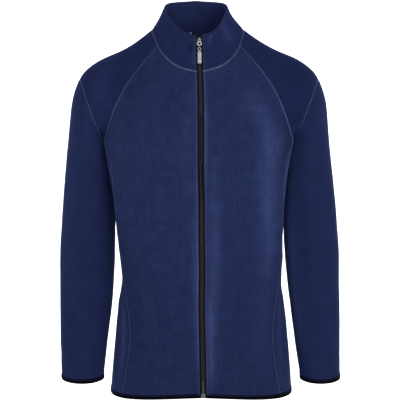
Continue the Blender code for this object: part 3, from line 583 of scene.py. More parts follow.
def linesFor(points, axis, atStart, atEnd, step):
    # where to cut a grid along one axis: its own lines, and closer ones beside its edges
    count = points.shape[axis] - 1
    lines = list(np.arange(count + 1, dtype=float))
    for near, wanted in ((0, atStart), (count, atEnd)):
        if not wanted:
            continue
        first = np.take(points, abs(near - step) if near else step, axis=axis)
        width = float(np.linalg.norm(first - np.take(points, near, axis=axis), axis=-1).mean()) / step
        extra = edgeLines / width
        reach = extra[-1] + edgeSpare
        lines = [x for x in lines if abs(x - near) > reach or x == near]
        lines += [near + (e if near == 0 else -e) for e in extra if e < count / 2]
    return np.array(sorted(lines))


def lengthsAlong(points, axis):
    steps = np.linalg.norm(np.diff(points, axis=axis), axis=-1)
    start = np.zeros_like(np.take(steps, [0], axis=axis))
    return np.cumsum(np.concatenate([start, steps], axis=axis), axis=axis)


# soft folds of each piece: start and end as parts of its columns and rows, width and depth in millimetres
folds = {
    "front_left": [(0.95, 0.66, 0.62, 0.6, 14, -1.3), (0.97, 0.58, 0.66, 0.47, 16, -1.2),
                   (0.9, 0.62, 0.6, 0.53, 13, 0.9), (0.98, 0.36, 0.7, 0.3, 15, -1.1),
                   (0.12, 0.03, 0.13, 0.24, 5, 1.1), (0.05, 0.05, 0.06, 0.2, 4, 0.8),
                   (0.2, 0.06, 0.22, 0.28, 9, -0.9), (0.45, 0.02, 0.5, 0.22, 20, 1),
                   (0.75, 0.02, 0.72, 0.2, 18, -1.2)],
    "front_right": [(0.95, 0.67, 0.6, 0.62, 15, -1.2), (0.97, 0.57, 0.62, 0.5, 15, -1),
                    (0.98, 0.4, 0.66, 0.33, 17, -1.2), (0.97, 0.33, 0.7, 0.25, 14, 0.8),
                    (0.35, 0.03, 0.4, 0.25, 22, -1), (0.62, 0.02, 0.66, 0.2, 18, 1),
                    (0.85, 0.02, 0.84, 0.16, 16, -1)],
    "back": [(0.04, 0.7, 0.3, 0.62, 16, -2), (0.05, 0.62, 0.26, 0.52, 14, 1.5),
             (0.96, 0.71, 0.72, 0.64, 17, -2.1), (0.95, 0.6, 0.76, 0.52, 14, 1.3),
             (0.2, 0.37, 0.46, 0.34, 13, -2.2), (0.55, 0.36, 0.82, 0.38, 12, -2),
             (0.3, 0.32, 0.6, 0.3, 12, 1.6), (0.4, 0.28, 0.72, 0.27, 13, -1.7),
             (0.06, 0.34, 0.22, 0.29, 12, -1.8), (0.94, 0.33, 0.8, 0.29, 13, -1.6),
             (0.42, 0.86, 0.6, 0.85, 14, -1.4), (0.25, 0.02, 0.27, 0.18, 20, 1.8),
             (0.48, 0.02, 0.5, 0.2, 22, -1.6), (0.72, 0.02, 0.7, 0.17, 20, 1.8)],
    "side_panel_left": [(0.2, 0.62, 0.85, 0.55, 12, -1.6), (0.15, 0.5, 0.8, 0.53, 12, 1),
                        (0.2, 0.42, 0.9, 0.36, 13, -1.7)],
    "side_panel_right": [(0.15, 0.6, 0.85, 0.56, 12, -1.5), (0.2, 0.45, 0.9, 0.4, 14, -1.6),
                         (0.25, 0.35, 0.8, 0.32, 11, 1)],
    "shoulder_left": [(0.8, 0.35, 0.84, 0.85, 12, -0.9), (0.33, 0.3, 0.3, 0.9, 13, -1.4)],
    "shoulder_right": [(0.8, 0.4, 0.83, 0.9, 12, -0.8), (0.35, 0.3, 0.31, 0.9, 14, -1.3)],
    "collar": [(0.022, 0.81, 0.064, 0.86, 2.6, -1.2), (0.022, 0.72, 0.055, 0.76, 2.8, -1.2),
               (0.024, 0.64, 0.045, 0.66, 2.4, -0.8), (0.93, 0.84, 0.965, 0.72, 4, -0.9),
               (0.2, 0.15, 0.26, 0.75, 9, -0.9), (0.8, 0.1, 0.75, 0.8, 9, -0.9),
               (0.93, 0.2, 0.88, 0.7, 8, 0.7), (0.42, 0.3, 0.58, 0.36, 10, -1)],
}
for side, sign in sides:
    turn = 0.02 * sign   # so that the two sleeves aren't alike
    folds["sleeve_" + side] = [
        (0.2, 0.03, 0.42 + turn, 0.1, 11, -1.6), (0.18, 0.1, 0.38, 0.17 + turn, 12, -1.4),
        (0.93, 0.05, 0.86, 0.17 - turn, 10, -0.9), (0.96, 0.4 + turn, 0.84, 0.46, 11, -1.3),
        (0.97, 0.47, 0.82, 0.5 + turn, 9, 0.8), (0.96, 0.54, 0.83 + turn, 0.56, 10, -1.4),
        (0.1, 0.44, 0.24, 0.4, 11, -1.5), (0.42, 0.42 - turn, 0.58, 0.48, 14, -1.5),
        (0.4, 0.55, 0.6, 0.52 + turn, 13, 1.1), (0.38, 0.62, 0.55, 0.67, 13, -1.3),
        (0.88, 0.66, 0.72 + turn, 0.74, 11, -0.9), (0.3, 0.74, 0.48, 0.8 - turn, 12, -1.2),
        (0.95, 0.8 - turn, 0.8, 0.84, 9, -0.8), (0.45, 0.9, 0.62, 0.93, 10, -0.9),
        (0.22, 0.9 + turn, 0.36, 0.87, 9, 0.7)]
# where light and shade are painted on the nap, with some brushed nap: painted highlights on the chest, beside
# the zip and along the collar creases, painted light that lifts the shade in the gap between the left sleeve
# and the body, and painted shade below zero; in the same terms with how strongly
paintedLightAndNapStrokes = {
    "front_left": [(0.52, 0.9, 0.58, 0.64, 22, 0.8), (0.6, 0.76, 0.69, 0.3, 22, 1),
                   (0.7, 0.42, 0.78, 0.05, 16, 0.25), (0.055, 0.02, 0.065, 0.28, 5, 1.2),
                   (0.075, 0, 0.085, 0.66, 11, 0.9), (0.015, 0.5, 0.015, 1, 5, 0.6),
                   (0.86, 0.8, 0.92, 0.58, 10, -0.35)],
    "front_right": [(0.02, 0.05, 0.015, 0.6, 9, 0.75), (0.06, 0.5, 0.06, 0.95, 14, 0.22),
                    (0.72, 0.99, 0.86, 0.8, 24, -0.2), (0.88, 0.55, 0.92, 0.05, 24, -0.12)],
    "side_panel_right": [(0.12, 0.02, 0.14, 0.42, 8, 0.85)],
    "side_panel_left": [(0.14, 0.05, 0.12, 0.6, 8, 0.45), (0.05, 0.4, 0.08, 0.98, 8, 0.8),
                        (0.09, 0.75, 0.1, 1.12, 7, 0.6)],
    "shoulder_left": [(0.95, 0.3, 0.93, 1.3, 17, 0.5)],
    "shoulder_right": [(0.6, 0.6, 0.95, 0.62, 21, 0.4)],
    "sleeve_left": [(0.975, 0, 0.985, 0.2, 13, 2.8), (0.97, 0.1, 0.975, 0.95, 11, 1.7),
                    (0.935, 0, 0.94, 0.98, 15, 0.75), (0.68, 0, 0.68, 0.85, 16, -0.18)],
    "sleeve_right": [(0.86, 0, 0.88, 0.25, 20, 0.3), (0.74, 0, 0.7, 0.8, 18, 0.26)],
    "collar": [(0.15, 0.25, 0.16, 1.1, 10, 0.9), (0.02, 0.82, 0.064, 0.88, 2.2, 1.8),
               (0.02, 0.73, 0.055, 0.78, 2.2, 1.7), (0.022, 0.64, 0.045, 0.67, 2, 1.1),
               (0.945, 0.72, 0.98, 0.5, 5, -0.6), (0.975, 0.7, 0.978, 0.1, 7, 0.35)],
}
paintedHemShade = {"height": 0.42, "part": -0.22}   # painted shade: the cloth darker towards the hem
# how a fold or a stroke is drawn: steps along it, its sway as a part of the columns, how many widths it
# reaches and how its ends fade
strokeShape = {"steps": 6, "sway": 0.01, "reach": 2.6, "fade": 0.8}


def strokeField(strokes, points, arm):
    flat = points.reshape(-1, 3)
    flatArm = arm.reshape(-1)
    total = np.zeros(len(flat))
    every = [(piece, stroke) for piece, lines in strokes.items() for stroke in lines]
    steps = strokeShape["steps"]
    for piece, (across0, up0, across1, up1, width, depth) in every:
        grid = fine["points"][fine["grids"][piece]]
        t = np.linspace(0, 1, steps + 1)
        rows = mix(up0, up1, t) * (grid.shape[0] - 1)
        swayed = mix(across0, across1, t) + strokeShape["sway"] * np.sin(math.pi * t)
        columns = swayed * (grid.shape[1] - 1)
        line = np.array([sampled(grid, np.array([r]), np.array([c]))[0, 0] for r, c in zip(rows, columns)])
        reach = strokeShape["reach"] * width / 1000
        inside = (flat > line.min(axis=0) - reach) & (flat < line.max(axis=0) + reach)
        close = np.flatnonzero(inside.all(axis=1))
        if not len(close):
            continue
        near = flat[close]
        best = np.full(len(near), 9.0)
        along = np.zeros(len(near))
        for i in range(steps):
            a, b = line[i], line[i + 1]
            ab = b - a
            s = np.clip(((near - a) @ ab) / (ab @ ab), 0, 1)
            away = np.linalg.norm(near - a - s[:, None] * ab, axis=1)
            nearer = away < best
            best = np.where(nearer, away, best)
            along = np.where(nearer, (i + s) / steps, along)
        onArm = 1.0
        if not piece.startswith("shoulder"):
            onArm = flatArm[close] if piece.startswith("sleeve") else 1 - flatArm[close]
        fade = np.sin(math.pi * np.clip(along, 0, 1)) ** strokeShape["fade"]
        total[close] += depth * onArm * fade * np.exp(-(best * 1000 / width) ** 2)
    return total.reshape(points.shape[:-1])


def calm(points):
    # folds and waves die away towards the zip
    away = np.abs(points[..., 0] - lean("zip", points[..., 2]) - lean("body", points[..., 2]))
    behind = smoothStep(*waves["behind"], points[..., 1])
    return np.maximum(smoothStep(*waves["zipCalm"], away), behind)


def bodyMoves(points, arm):
    # how far the cloth stands off its form, the same for every piece
    wide, small = (waves[size] * noiseAt(points, waves[size + "Size"], waves[size + "Shift"])
                   for size in ("wide", "small"))
    return (strokeField(folds, points, arm) / 1000 + wide + small) * calm(points)


def edgeRelief(kind, away, points):
    look = edgeLooks[kind]
    relief = sum(height * bump(away, middle, width) for height, middle, width in look["rises"])
    noisy = noiseAt(points * np.array(look["stretch"]), look["size"], look["shift"])
    puckers = look["pucker"] * np.exp(-away / look["reach"]) * noisy
    if kind == "seam":
        flat, rise = seamDip["flat"], seamDip["rise"]
        relief -= seamDip["depth"] * (1 - smoothStep(flat, flat + rise, away))
    if kind == "bound":
        puckers *= smoothStep(0.001, look["rises"][0][1], away)
    return relief + puckers


def makeGrid(name):
    # one piece's outer and inner faces, as grids with distances to its edges
    edges = clothPieces[name]
    index = fine["grids"][name]
    if name.startswith("sleeve"):
        turn = nSide * fine["step"] // 2
        index = np.concatenate([index[:, turn:-1], index[:, :turn + 1]], axis=1)
    basePoints = fine["points"][index]
    rows = linesFor(basePoints, 0, edges[0], edges[1], fine["step"])
    columns = linesFor(basePoints, 1, edges[2], edges[3], fine["step"])
    data = np.concatenate([basePoints, fine["normals"][index], fine["arm"][index][..., None]], axis=-1)
    data = sampled(data, rows, columns)
    points, normals, arm = data[..., :3], unit(data[..., 3:6]), data[..., 6]
    up, across = lengthsAlong(points, 0), lengthsAlong(points, 1)
    away = {0: up, 1: up[-1:] - up, 2: across, 3: across[:, -1:] - across}
    thick = thickness["collar" if name == "collar" else "cloth"]
    nearSeam = np.full(up.shape, 1.0)
    rounding = np.zeros(up.shape)
    relief = np.zeros(up.shape)
    paintedRidgeHighlight = np.zeros(up.shape)
    # painted light and shade on the nap, with some brushed nap
    paintedLightAndNap = strokeField(paintedLightAndNapStrokes, points, arm)
    # painted shade, darker towards the hem
    risen = smoothStep(form["hemZ"], form["hemZ"] + paintedHemShade["height"], points[..., 2])
    paintedLightAndNap += paintedHemShade["part"] * (1 - arm) * (1 - risen)
    for i, kind in enumerate(edges):
        if kind == "seam":
            nearSeam = np.minimum(nearSeam, away[i])
        if kind in ("zip", "bound"):
            # the ridge beside the zip and the bindings gets a painted highlight
            part, middle, width = edgeLooks[kind]["paintedRidgeHighlight"]
            relief += edgeRelief(kind, away[i], points)
            paintedRidgeHighlight += part * bump(away[i], middle, width)
        if kind in ("zip", "free"):
            short = np.clip(1 - away[i] / (thick / 2), 0, 1)
            rounding = np.maximum(rounding, (1 - np.sqrt(1 - short**2)) * thick / 2)
    relief += edgeRelief("seam", nearSeam, points)
    moved = bodyMoves(points, arm)
    outer = points + normals * (moved + relief - rounding)[..., None]
    inner = points + normals * (moved - thick + rounding)[..., None]
    middle = across[:, [across.shape[1] // 2]]
    return {"outer": outer, "inner": inner, "normals": normals, "away": away,
            "paintedLightAndNap": paintedLightAndNap, "paintedRidgeHighlight": paintedRidgeHighlight,
            "u": across - middle, "v": np.broadcast_to(up.mean(axis=1, keepdims=True), up.shape),
            "closed": bool(np.linalg.norm(basePoints[0, 0] - basePoints[0, -1]) < 1e-6)}


def cleanMesh(mesh, merge=0.0):
    # no loose points, and either doubles merged or faces turned outwards
    shape = bmesh.new()
    shape.from_mesh(mesh)
    if merge:
        bmesh.ops.remove_doubles(shape, verts=shape.verts, dist=merge)
    bmesh.ops.delete(shape, geom=[v for v in shape.verts if not v.link_faces], context="VERTS")
    if not merge:
        bmesh.ops.recalc_face_normals(shape, faces=shape.faces)
    shape.to_mesh(mesh)
    shape.free()
    mesh.shade_smooth()
    return mesh


def gridMesh(name, grid):
    # a closed cloth piece from its two faces, with the rims that its edges need
    nRows, nColumns = grid["u"].shape
    number = np.arange(nRows * nColumns).reshape(nRows, nColumns)
    if grid["closed"]:
        number = number.copy()
        number[:, -1] = number[:, 0]
    count = nRows * nColumns
    ids = np.arange(count).reshape(nRows, nColumns)
    quads = np.stack([ids[:-1, :-1], ids[:-1, 1:], ids[1:, 1:], ids[1:, :-1]], axis=-1).reshape(-1, 4)
    outer, normals = grid["outer"].reshape(-1, 3), grid["normals"].reshape(-1, 3)
    a, b, c, d = (outer[quads[:, i]] for i in range(4))
    facing = np.einsum("ij,ij->i", np.cross(c - a, d - b), normals[quads[:, 0]]).sum()
    if facing < 0:
        quads = quads[:, ::-1]
    faces = np.concatenate([quads, quads[:, ::-1] + count])
    borders = [ids[0], ids[-1]]
    if not grid["closed"]:
        borders += [ids[:, 0], ids[:, -1]]
    directed = {(p, q) for quad in quads.tolist() for p, q in zip(quad, quad[1:] + quad[:1])}
    rims = []
    for border in borders:
        for p, q in zip(border[:-1].tolist(), border[1:].tolist()):
            if (p, q) not in directed:
                p, q = q, p
            rims.append((q, p, p + count, q + count))
    faces = np.concatenate([faces, np.array(rims)])
    vertexOf = np.concatenate([number.ravel(), number.ravel() + count])
    mesh = bpy.data.meshes.new(name)
    places = np.concatenate([outer, grid["inner"].reshape(-1, 3)])
    mesh.from_pydata(places.tolist(), [], vertexOf[faces].tolist())
    flat = np.stack([grid["u"].ravel(), grid["v"].ravel()], axis=-1)
    flat = np.concatenate([flat, flat])[faces.ravel()]
    mesh.uv_layers.new(name="cloth").data.foreach_set("uv", flat.ravel())
    masks = {"inside": np.repeat([0.0, 1.0], count)}
    # the painted light and shade on the nap and the painted ridge highlight go to the material as point
    # attributes
    for label in ("paintedLightAndNap", "paintedRidgeHighlight"):
        masks[label] = np.concatenate([grid[label].ravel(), np.zeros(count)])
    for label, values in masks.items():
        mesh.attributes.new(label, "FLOAT", "POINT").data.foreach_set("value", values)
    return cleanMesh(mesh, 1e-7)


def show(name, mesh, material, body="garment", replaces=(), slot=None):
    piece = bpy.data.objects.new(name, mesh)
    bpy.context.scene.collection.objects.link(piece)
    mesh.materials.clear()
    mesh.materials.append(material)
    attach(piece, body)
    if replaces:
        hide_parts(*replaces)
    return piece


# Materials

def addNode(tree, kind, settings=None, inputs=None):
    made = tree.nodes.new(kind)
    for name, value in (settings or {}).items():
        setattr(made, name, value)
    for name, value in (inputs or {}).items():
        if isinstance(value, bpy.types.NodeSocket):
            tree.links.new(value, made.inputs[name])
        else:
            made.inputs[name].default_value = value
    return made


def mathNode(tree, operation, first, second=0.0, third=None):
    inputs = {0: first, 1: second}
    if third is not None:
        inputs[2] = third
    return addNode(tree, "ShaderNodeMath", {"operation": operation}, inputs).outputs[0]


def noiseNode(tree, where, scale, detail=2.0, dimensions="3D", **more):
    return addNode(tree, "ShaderNodeTexNoise", {"noise_dimensions": dimensions},
                   {"Vector": where, "Scale": scale, "Detail": detail, **more}).outputs[0]


def rangeNode(tree, value, low, high, start, end):
    return addNode(tree, "ShaderNodeMapRange", None, {0: value, 1: low, 2: high, 3: start, 4: end}).outputs[0]


def newGroup(name, inputs, outputs, kind="ShaderNodeTree"):
    # named sockets: a number is a socket's own value, a word is its kind
    group = bpy.data.node_groups.new(name, kind)
    kinds = {int: "Int", float: "Float"}
    for sockets, way in ((inputs, "INPUT"), (outputs, "OUTPUT")):
        for label, value in sockets.items():
            socketKind = "NodeSocket" + kinds.get(type(value), value)
            socket = group.interface.new_socket(label, in_out=way, socket_type=socketKind)
            if type(value) in kinds:
                socket.default_value = value
    return group, group.nodes.new("NodeGroupInput").outputs, group.nodes.new("NodeGroupOutput").inputs


napMix = {"blotch": 0.9, "pile": 0.35, "grainFiner": 6.0, "streakScale": (260.0, 9.0, 1.0)}
ribMix = {"along": 0.55, "across": 0.45, "height": 0.5, "speck": 0.5, "speckScale": 900.0}


def brushedNapGroup():
    # napped cloth: soft blotches, faint streaks along the cloth and a fine pile
    inputs = {"Cloth Place": "Vector", "Object Place": "Vector", "Blotch Size": 0.02, "Pile Size": 0.0011,
              "Streaks": 0.5, "Grain": 0.6}
    group, given, result = newGroup("brushedNap", inputs, {"Shade": "Float", "Pile": "Float"})
    where = given["Object Place"]
    blotchScale = mathNode(group, "DIVIDE", 1.0, given["Blotch Size"])
    blotch = noiseNode(group, where, blotchScale, 4.0, Roughness=0.6)
    grain = noiseNode(group, where, mathNode(group, "MULTIPLY", blotchScale, napMix["grainFiner"]))
    stretched = addNode(group, "ShaderNodeMapping", None,
                        {"Vector": given["Cloth Place"], "Scale": napMix["streakScale"]})
    streak = noiseNode(group, stretched.outputs[0], 1.0, dimensions="2D")
    pileScale = mathNode(group, "DIVIDE", 1.0, given["Pile Size"])
    pile = noiseNode(group, where, pileScale, 3.0, Roughness=0.7, Distortion=0.4)
    soft, tiny = (mathNode(group, "MULTIPLY_ADD", value, napMix[part], -napMix[part] / 2)
                  for value, part in ((blotch, "blotch"), (pile, "pile")))
    finer, lines = (mathNode(group, "MULTIPLY", mathNode(group, "SUBTRACT", value, 0.5), given[label])
                    for value, label in ((grain, "Grain"), (streak, "Streaks")))
    total = mathNode(group, "ADD", mathNode(group, "ADD", soft, finer), mathNode(group, "ADD", lines, tiny))
    shade = addNode(group, "ShaderNodeMath", {"operation": "ADD", "use_clamp": True}, {0: total, 1: 0.5})
    group.links.new(shade.outputs[0], result["Shade"])
    group.links.new(pile, result["Pile"])
    return group


def wovenRibGroup():
    # close ribs along one way of the cloth, crossed by finer ones
    group, given, result = newGroup("wovenRib", {"Cloth Place": "Vector", "Rib": 0.0008, "Cross Rib": 0.0006},
                                    {"Height": "Float", "Shade": "Float"})
    parts = addNode(group, "ShaderNodeSeparateXYZ", None, {0: given["Cloth Place"]})
    waves = []
    for axis, size in (("X", "Rib"), ("Y", "Cross Rib")):
        count = mathNode(group, "DIVIDE", parts.outputs[axis], given[size])
        wave = mathNode(group, "SINE", mathNode(group, "MULTIPLY", count, 2 * math.pi))
        waves.append(mathNode(group, "MULTIPLY_ADD", wave, 0.5, 0.5))
    along = mathNode(group, "MULTIPLY", waves[0], ribMix["along"])
    height = mathNode(group, "MULTIPLY_ADD", waves[1], ribMix["across"], along)
    speck = noiseNode(group, given["Cloth Place"], ribMix["speckScale"])
    shade = mathNode(group, "MULTIPLY_ADD", speck, ribMix["speck"],
                     mathNode(group, "MULTIPLY", height, ribMix["height"]))
    group.links.new(height, result["Height"])
    group.links.new(shade, result["Shade"])
    return group


def groupNode(tree, group, inputs):
    return addNode(tree, "ShaderNodeGroup", {"node_tree": group}, inputs)


def blend(tree, factor, dark, light, clamped=True):
    made = addNode(tree, "ShaderNodeMix", {"data_type": "RGBA", "clamp_factor": clamped})
    for socket, value in zip((made.inputs[0], made.inputs[6], made.inputs[7]), (factor, dark, light)):
        if isinstance(value, bpy.types.NodeSocket):
            tree.links.new(value, socket)
        else:
            socket.default_value = (*value, 1.0) if isinstance(value, tuple) else value
    return made.outputs[2]


def newMaterial(name, roughness, metallic=0.0, gloss=0.5, sheen=0.0, sheenTint=(1, 1, 1), sheenRoughness=0.5):
    made = bpy.data.materials.new(name)
    made.use_nodes = True
    tree = made.node_tree
    shader = tree.nodes["Principled BSDF"]
    values = {"Roughness": roughness, "Metallic": metallic, "Specular IOR Level": gloss,
              "Sheen Weight": sheen, "Sheen Tint": (*sheenTint, 1), "Sheen Roughness": sheenRoughness}
    for label, value in values.items():
        shader.inputs[label].default_value = value
    return made, tree, shader


def bumpInto(tree, shader, height, strength, distance):
    settings = {"Height": height, "Strength": strength, "Distance": distance}
    tree.links.new(addNode(tree, "ShaderNodeBump", None, settings).outputs[0], shader.inputs["Normal"])


napGroup, ribGroup = brushedNapGroup(), wovenRibGroup()

fleeceLooks = {   # the same navy cloth, cut on different ways of its nap: dark, light, streaks and grain
    "fleeceBody": ((0.0054, 0.0084, 0.0325), (0.0139, 0.0197, 0.0613), 0.5, 1.0),
    "fleeceSleeve": ((0.0044, 0.0069, 0.0275), (0.0094, 0.0143, 0.0495), 0.25, 0.4),
    "fleeceShoulder": ((0.004, 0.0063, 0.0262), (0.0086, 0.0128, 0.0465), 0.2, 0.6),
    "fleeceCollar": ((0.0044, 0.0067, 0.0274), (0.0099, 0.0144, 0.0512), 0.2, 0.8),
}
# tints multiplied into the colour: the inside face, the painted light and shade on the nap, and the painted
# highlight on the ridges beside the zip and the bindings
fleeceTints = {"inside": (1.38, 1.38, 1.28), "paintedLightAndNap": (1.85, 1.8, 1.62), "paintedRidgeHighlight": (2.2, 1.9, 1.45)}
fleeceSheen = {"roughness": 0.92, "metallic": 0, "gloss": 0.02, "sheen": 0.1, "sheenTint": (0.22, 0.34, 1.0),
               "sheenRoughness": 0.45}
fleecePile = {"blotch": 0.022, "pile": 0.0011, "bump": 0.5, "bumpHeight": 0.0006}


def fleeceMaterial(name):
    dark, light, streaks, grain = fleeceLooks[name]
    made, tree, shader = newMaterial(name, **fleeceSheen)
    cloth = addNode(tree, "ShaderNodeUVMap", {"uv_map": "cloth"})
    where = addNode(tree, "ShaderNodeTexCoord")
    nap = groupNode(tree, napGroup, {"Cloth Place": cloth.outputs[0], "Object Place": where.outputs["Object"],
                                     "Blotch Size": fleecePile["blotch"], "Pile Size": fleecePile["pile"],
                                     "Streaks": streaks, "Grain": grain})
    colour = blend(tree, nap.outputs["Shade"], dark, light)
    for label, tint in fleeceTints.items():
        mask = addNode(tree, "ShaderNodeAttribute", {"attribute_name": label})
        tinted = addNode(tree, "ShaderNodeMix", {"data_type": "RGBA", "blend_type": "MULTIPLY"}, {0: 1.0})
        tree.links.new(colour, tinted.inputs[6])
        tree.links.new(blend(tree, mask.outputs["Fac"], (1, 1, 1), tint, False), tinted.inputs[7])
        colour = tinted.outputs[2]
    tree.links.new(colour, shader.inputs["Base Color"])
    bumpInto(tree, shader, nap.outputs["Pile"], fleecePile["bump"], fleecePile["bumpHeight"])
    return made


ribLooks = {
    "bindingCloth": {"dark": (0.0004, 0.0004, 0.0014), "light": (0.0015, 0.0016, 0.0048), "rib": 0.0011,
                     "cross": 0.0007, "roughness": 0.8, "gloss": 0.015, "bump": 0.6, "height": 0.00025},
    "zipTape": {"dark": (0.0012, 0.0013, 0.0022), "light": (0.0048, 0.0050, 0.0074), "rib": 0.0009,
                "cross": 0.0005, "roughness": 0.7, "gloss": 0.06, "bump": 0.7, "height": 0.00025},
}


def ribMaterial(name):
    look = ribLooks[name]
    made, tree, shader = newMaterial(name, look["roughness"], 0, look["gloss"])
    cloth = addNode(tree, "ShaderNodeUVMap", {"uv_map": "cloth"})
    rib = groupNode(tree, ribGroup, {"Cloth Place": cloth.outputs[0], "Rib": look["rib"],
                                     "Cross Rib": look["cross"]})
    colour = blend(tree, rib.outputs["Shade"], look["dark"], look["light"])
    tree.links.new(colour, shader.inputs["Base Color"])
    bumpInto(tree, shader, rib.outputs["Height"], look["bump"], look["height"])
    return made


plainLooks = {   # base colours, roughness, metallic, size and depth of the fine unevenness
    "neckThread": ((0.052, 0.063, 0.156), (0.092, 0.108, 0.234), 0.60, 0, 0.0009, 0.25),
    "seamThread": ((0.052, 0.064, 0.158), (0.094, 0.112, 0.248), 0.60, 0, 0.0009, 0.25),
    "blendThread": ((0.025, 0.034, 0.090), (0.050, 0.062, 0.140), 0.62, 0, 0.0009, 0.25),
    "darkThread": ((0.012, 0.018, 0.055), (0.028, 0.038, 0.095), 0.65, 0, 0.0009, 0.25),
    "zipCoil": ((0.0030, 0.0034, 0.0044), (0.0080, 0.0086, 0.0104), 0.52, 0, 0.0015, 0.12),
    # the slider's metal, painted dark as painted shade
    "shadedSliderMetal": ((0.022, 0.022, 0.020), (0.058, 0.057, 0.053), 0.45, 1, 0.0012, 0.08),
    "silverMetal": ((0.15, 0.155, 0.165), (0.28, 0.285, 0.295), 0.42, 1, 0.0012, 0.08),
    # the tab: a darker copy of the silver, painted shade
    "shadedTabMetal": ((0.110, 0.114, 0.118), (0.200, 0.204, 0.208), 0.30, 1, 0.0016, 0.08),
    "greyEndBox": ((0.030, 0.030, 0.028), (0.055, 0.055, 0.050), 0.45, 0, 0.0015, 0.08),
}


# painted shade on the thread, darker towards the shoulder tops and the sides: the axis, the places where it
# shows least and most, and how much it shows
paintedThreadShade = {"neckThread": (("X", 0.085, 0.040, 0.25), ("X", -0.085, -0.040, 0.30)),
          "seamThread": (("Z", -0.040, -0.150, 0.35), ("X", -0.100, 0.040, 0.50))}
threadShadeColour = (0.004, 0.008, 0.050)
unevenness = {"wornScale": 0.15, "roughness": (0.85, 1.2), "bump": 0.3}


def fineMaterial(name):
    dark, light, roughness, metallic, size, depth = plainLooks[name]
    made, tree, shader = newMaterial(name, roughness, metallic)
    where = addNode(tree, "ShaderNodeTexCoord").outputs["Object"]
    speck = noiseNode(tree, where, 1 / size, 3.0)
    worn = noiseNode(tree, where, unevenness["wornScale"] / size)
    both = mathNode(tree, "MULTIPLY_ADD", worn, 0.5, mathNode(tree, "MULTIPLY", speck, 0.5))
    colour = blend(tree, both, dark, light)
    # painted shade: the thread darkens towards the given places
    for axis, least, most, part in paintedThreadShade.get(name, ()):
        parts = addNode(tree, "ShaderNodeSeparateXYZ", None, {0: where})
        out = rangeNode(tree, parts.outputs[axis], least, most, part, 1.0)
        colour = blend(tree, out, threadShadeColour, colour)
    tree.links.new(colour, shader.inputs["Base Color"])
    low, high = (min(1, roughness * part) for part in unevenness["roughness"])
    tree.links.new(rangeNode(tree, worn, 0.3, 0.7, low, high), shader.inputs["Roughness"])
    bumpInto(tree, shader, speck, depth, size * unevenness["bump"])
    return made


looks = {name: fleeceMaterial(name) for name in fleeceLooks}
looks.update({name: ribMaterial(name) for name in ribLooks})
looks.update({name: fineMaterial(name) for name in plainLooks})
print("materials:", ", ".join(looks))


# Cloth pieces

clothLooks = {"front": "fleeceBody", "back": "fleeceBody", "side": "fleeceBody", "shoulder": "fleeceShoulder",
              "sleeve": "fleeceSleeve", "collar": "fleeceCollar"}
grids = {name: makeGrid(name) for name in clothPieces}
for name, grid in grids.items():
    look = looks[clothLooks[name.split("_")[0]]]
    show(name + "_cloth", gridMesh(name, grid), look, replaces=[name], slot="navy_microfleece")


# Bindings and zip tapes: strips swept along their edges

# outlines of the strips, in millimetres: how far up or across, and how far out of the cloth
boundOutline = [(8.9, 0.3), (9.05, 0.55), (8.8, 0.85), (8.2, 0.95), (7.4, 0.8), (4.8, 1.15), (2.2, 1.1),
                (0.6, 0.8), (0.05, 0.2), (-0.15, -1), (0.05, -2.2), (0.6, -2.75), (2.2, -3), (5, -3.05),
                (8.1, -2.85), (8.8, -2.6), (8.8, -2.15), (5, -2.2), (2.2, -2.2), (0.9, -1.8), (0.7, -1),
                (0.9, -0.2), (2.2, 0.25), (4.8, 0.35), (7.4, 0.2)]
tapeOutline = [(0.03, -0.65), (1.2, -0.6), (2.6, -0.6), (4, -0.8), (5, -1.2), (5.8, -1.8), (6.6, -2.15),
               (9, -2.2), (15, -2.25), (15, -2.9), (9, -2.95), (6.2, -2.95), (5.2, -2.3), (4.2, -1.8),
               (2.6, -1.5), (1.2, -1.45), (0.03, -1.5)]
boundPucker = {"size": 0.0075, "shift": 4.4, "out": 0.00016}


def atLength(values, lengths, at):
    # values at one length from a grid's first row, carried on in a straight line past its ends
    i = np.clip((lengths < at).sum(axis=0) - 1, 0, len(lengths) - 2)
    j = np.arange(lengths.shape[1])
    t = ((at - lengths[i, j]) / (lengths[i + 1, j] - lengths[i, j]))[:, None]
    return values[i, j] * (1 - t) + values[i + 1, j] * t


def sweep(index, outline, pucker=None):
    # rings of points round a strip, its outline set across the first rows of a grid
    parts = [fine["points"][index], fine["normals"][index], fine["arm"][index][..., None]]
    values = np.concatenate(parts, axis=-1)
    lengths = lengthsAlong(values[..., :3], 0)
    rings = []
    for across, out in outline:
        at = atLength(values, lengths, across / 1000)
        points, normals = at[:, :3], unit(at[:, 3:6])
        moved = out / 1000 + bodyMoves(points, at[:, 6])
        if pucker:
            moved += pucker["out"] * noiseAt(points, pucker["size"], pucker["shift"]) * np.sign(out + 1)
        rings.append(points + normals * moved[:, None])
    return np.array(rings)


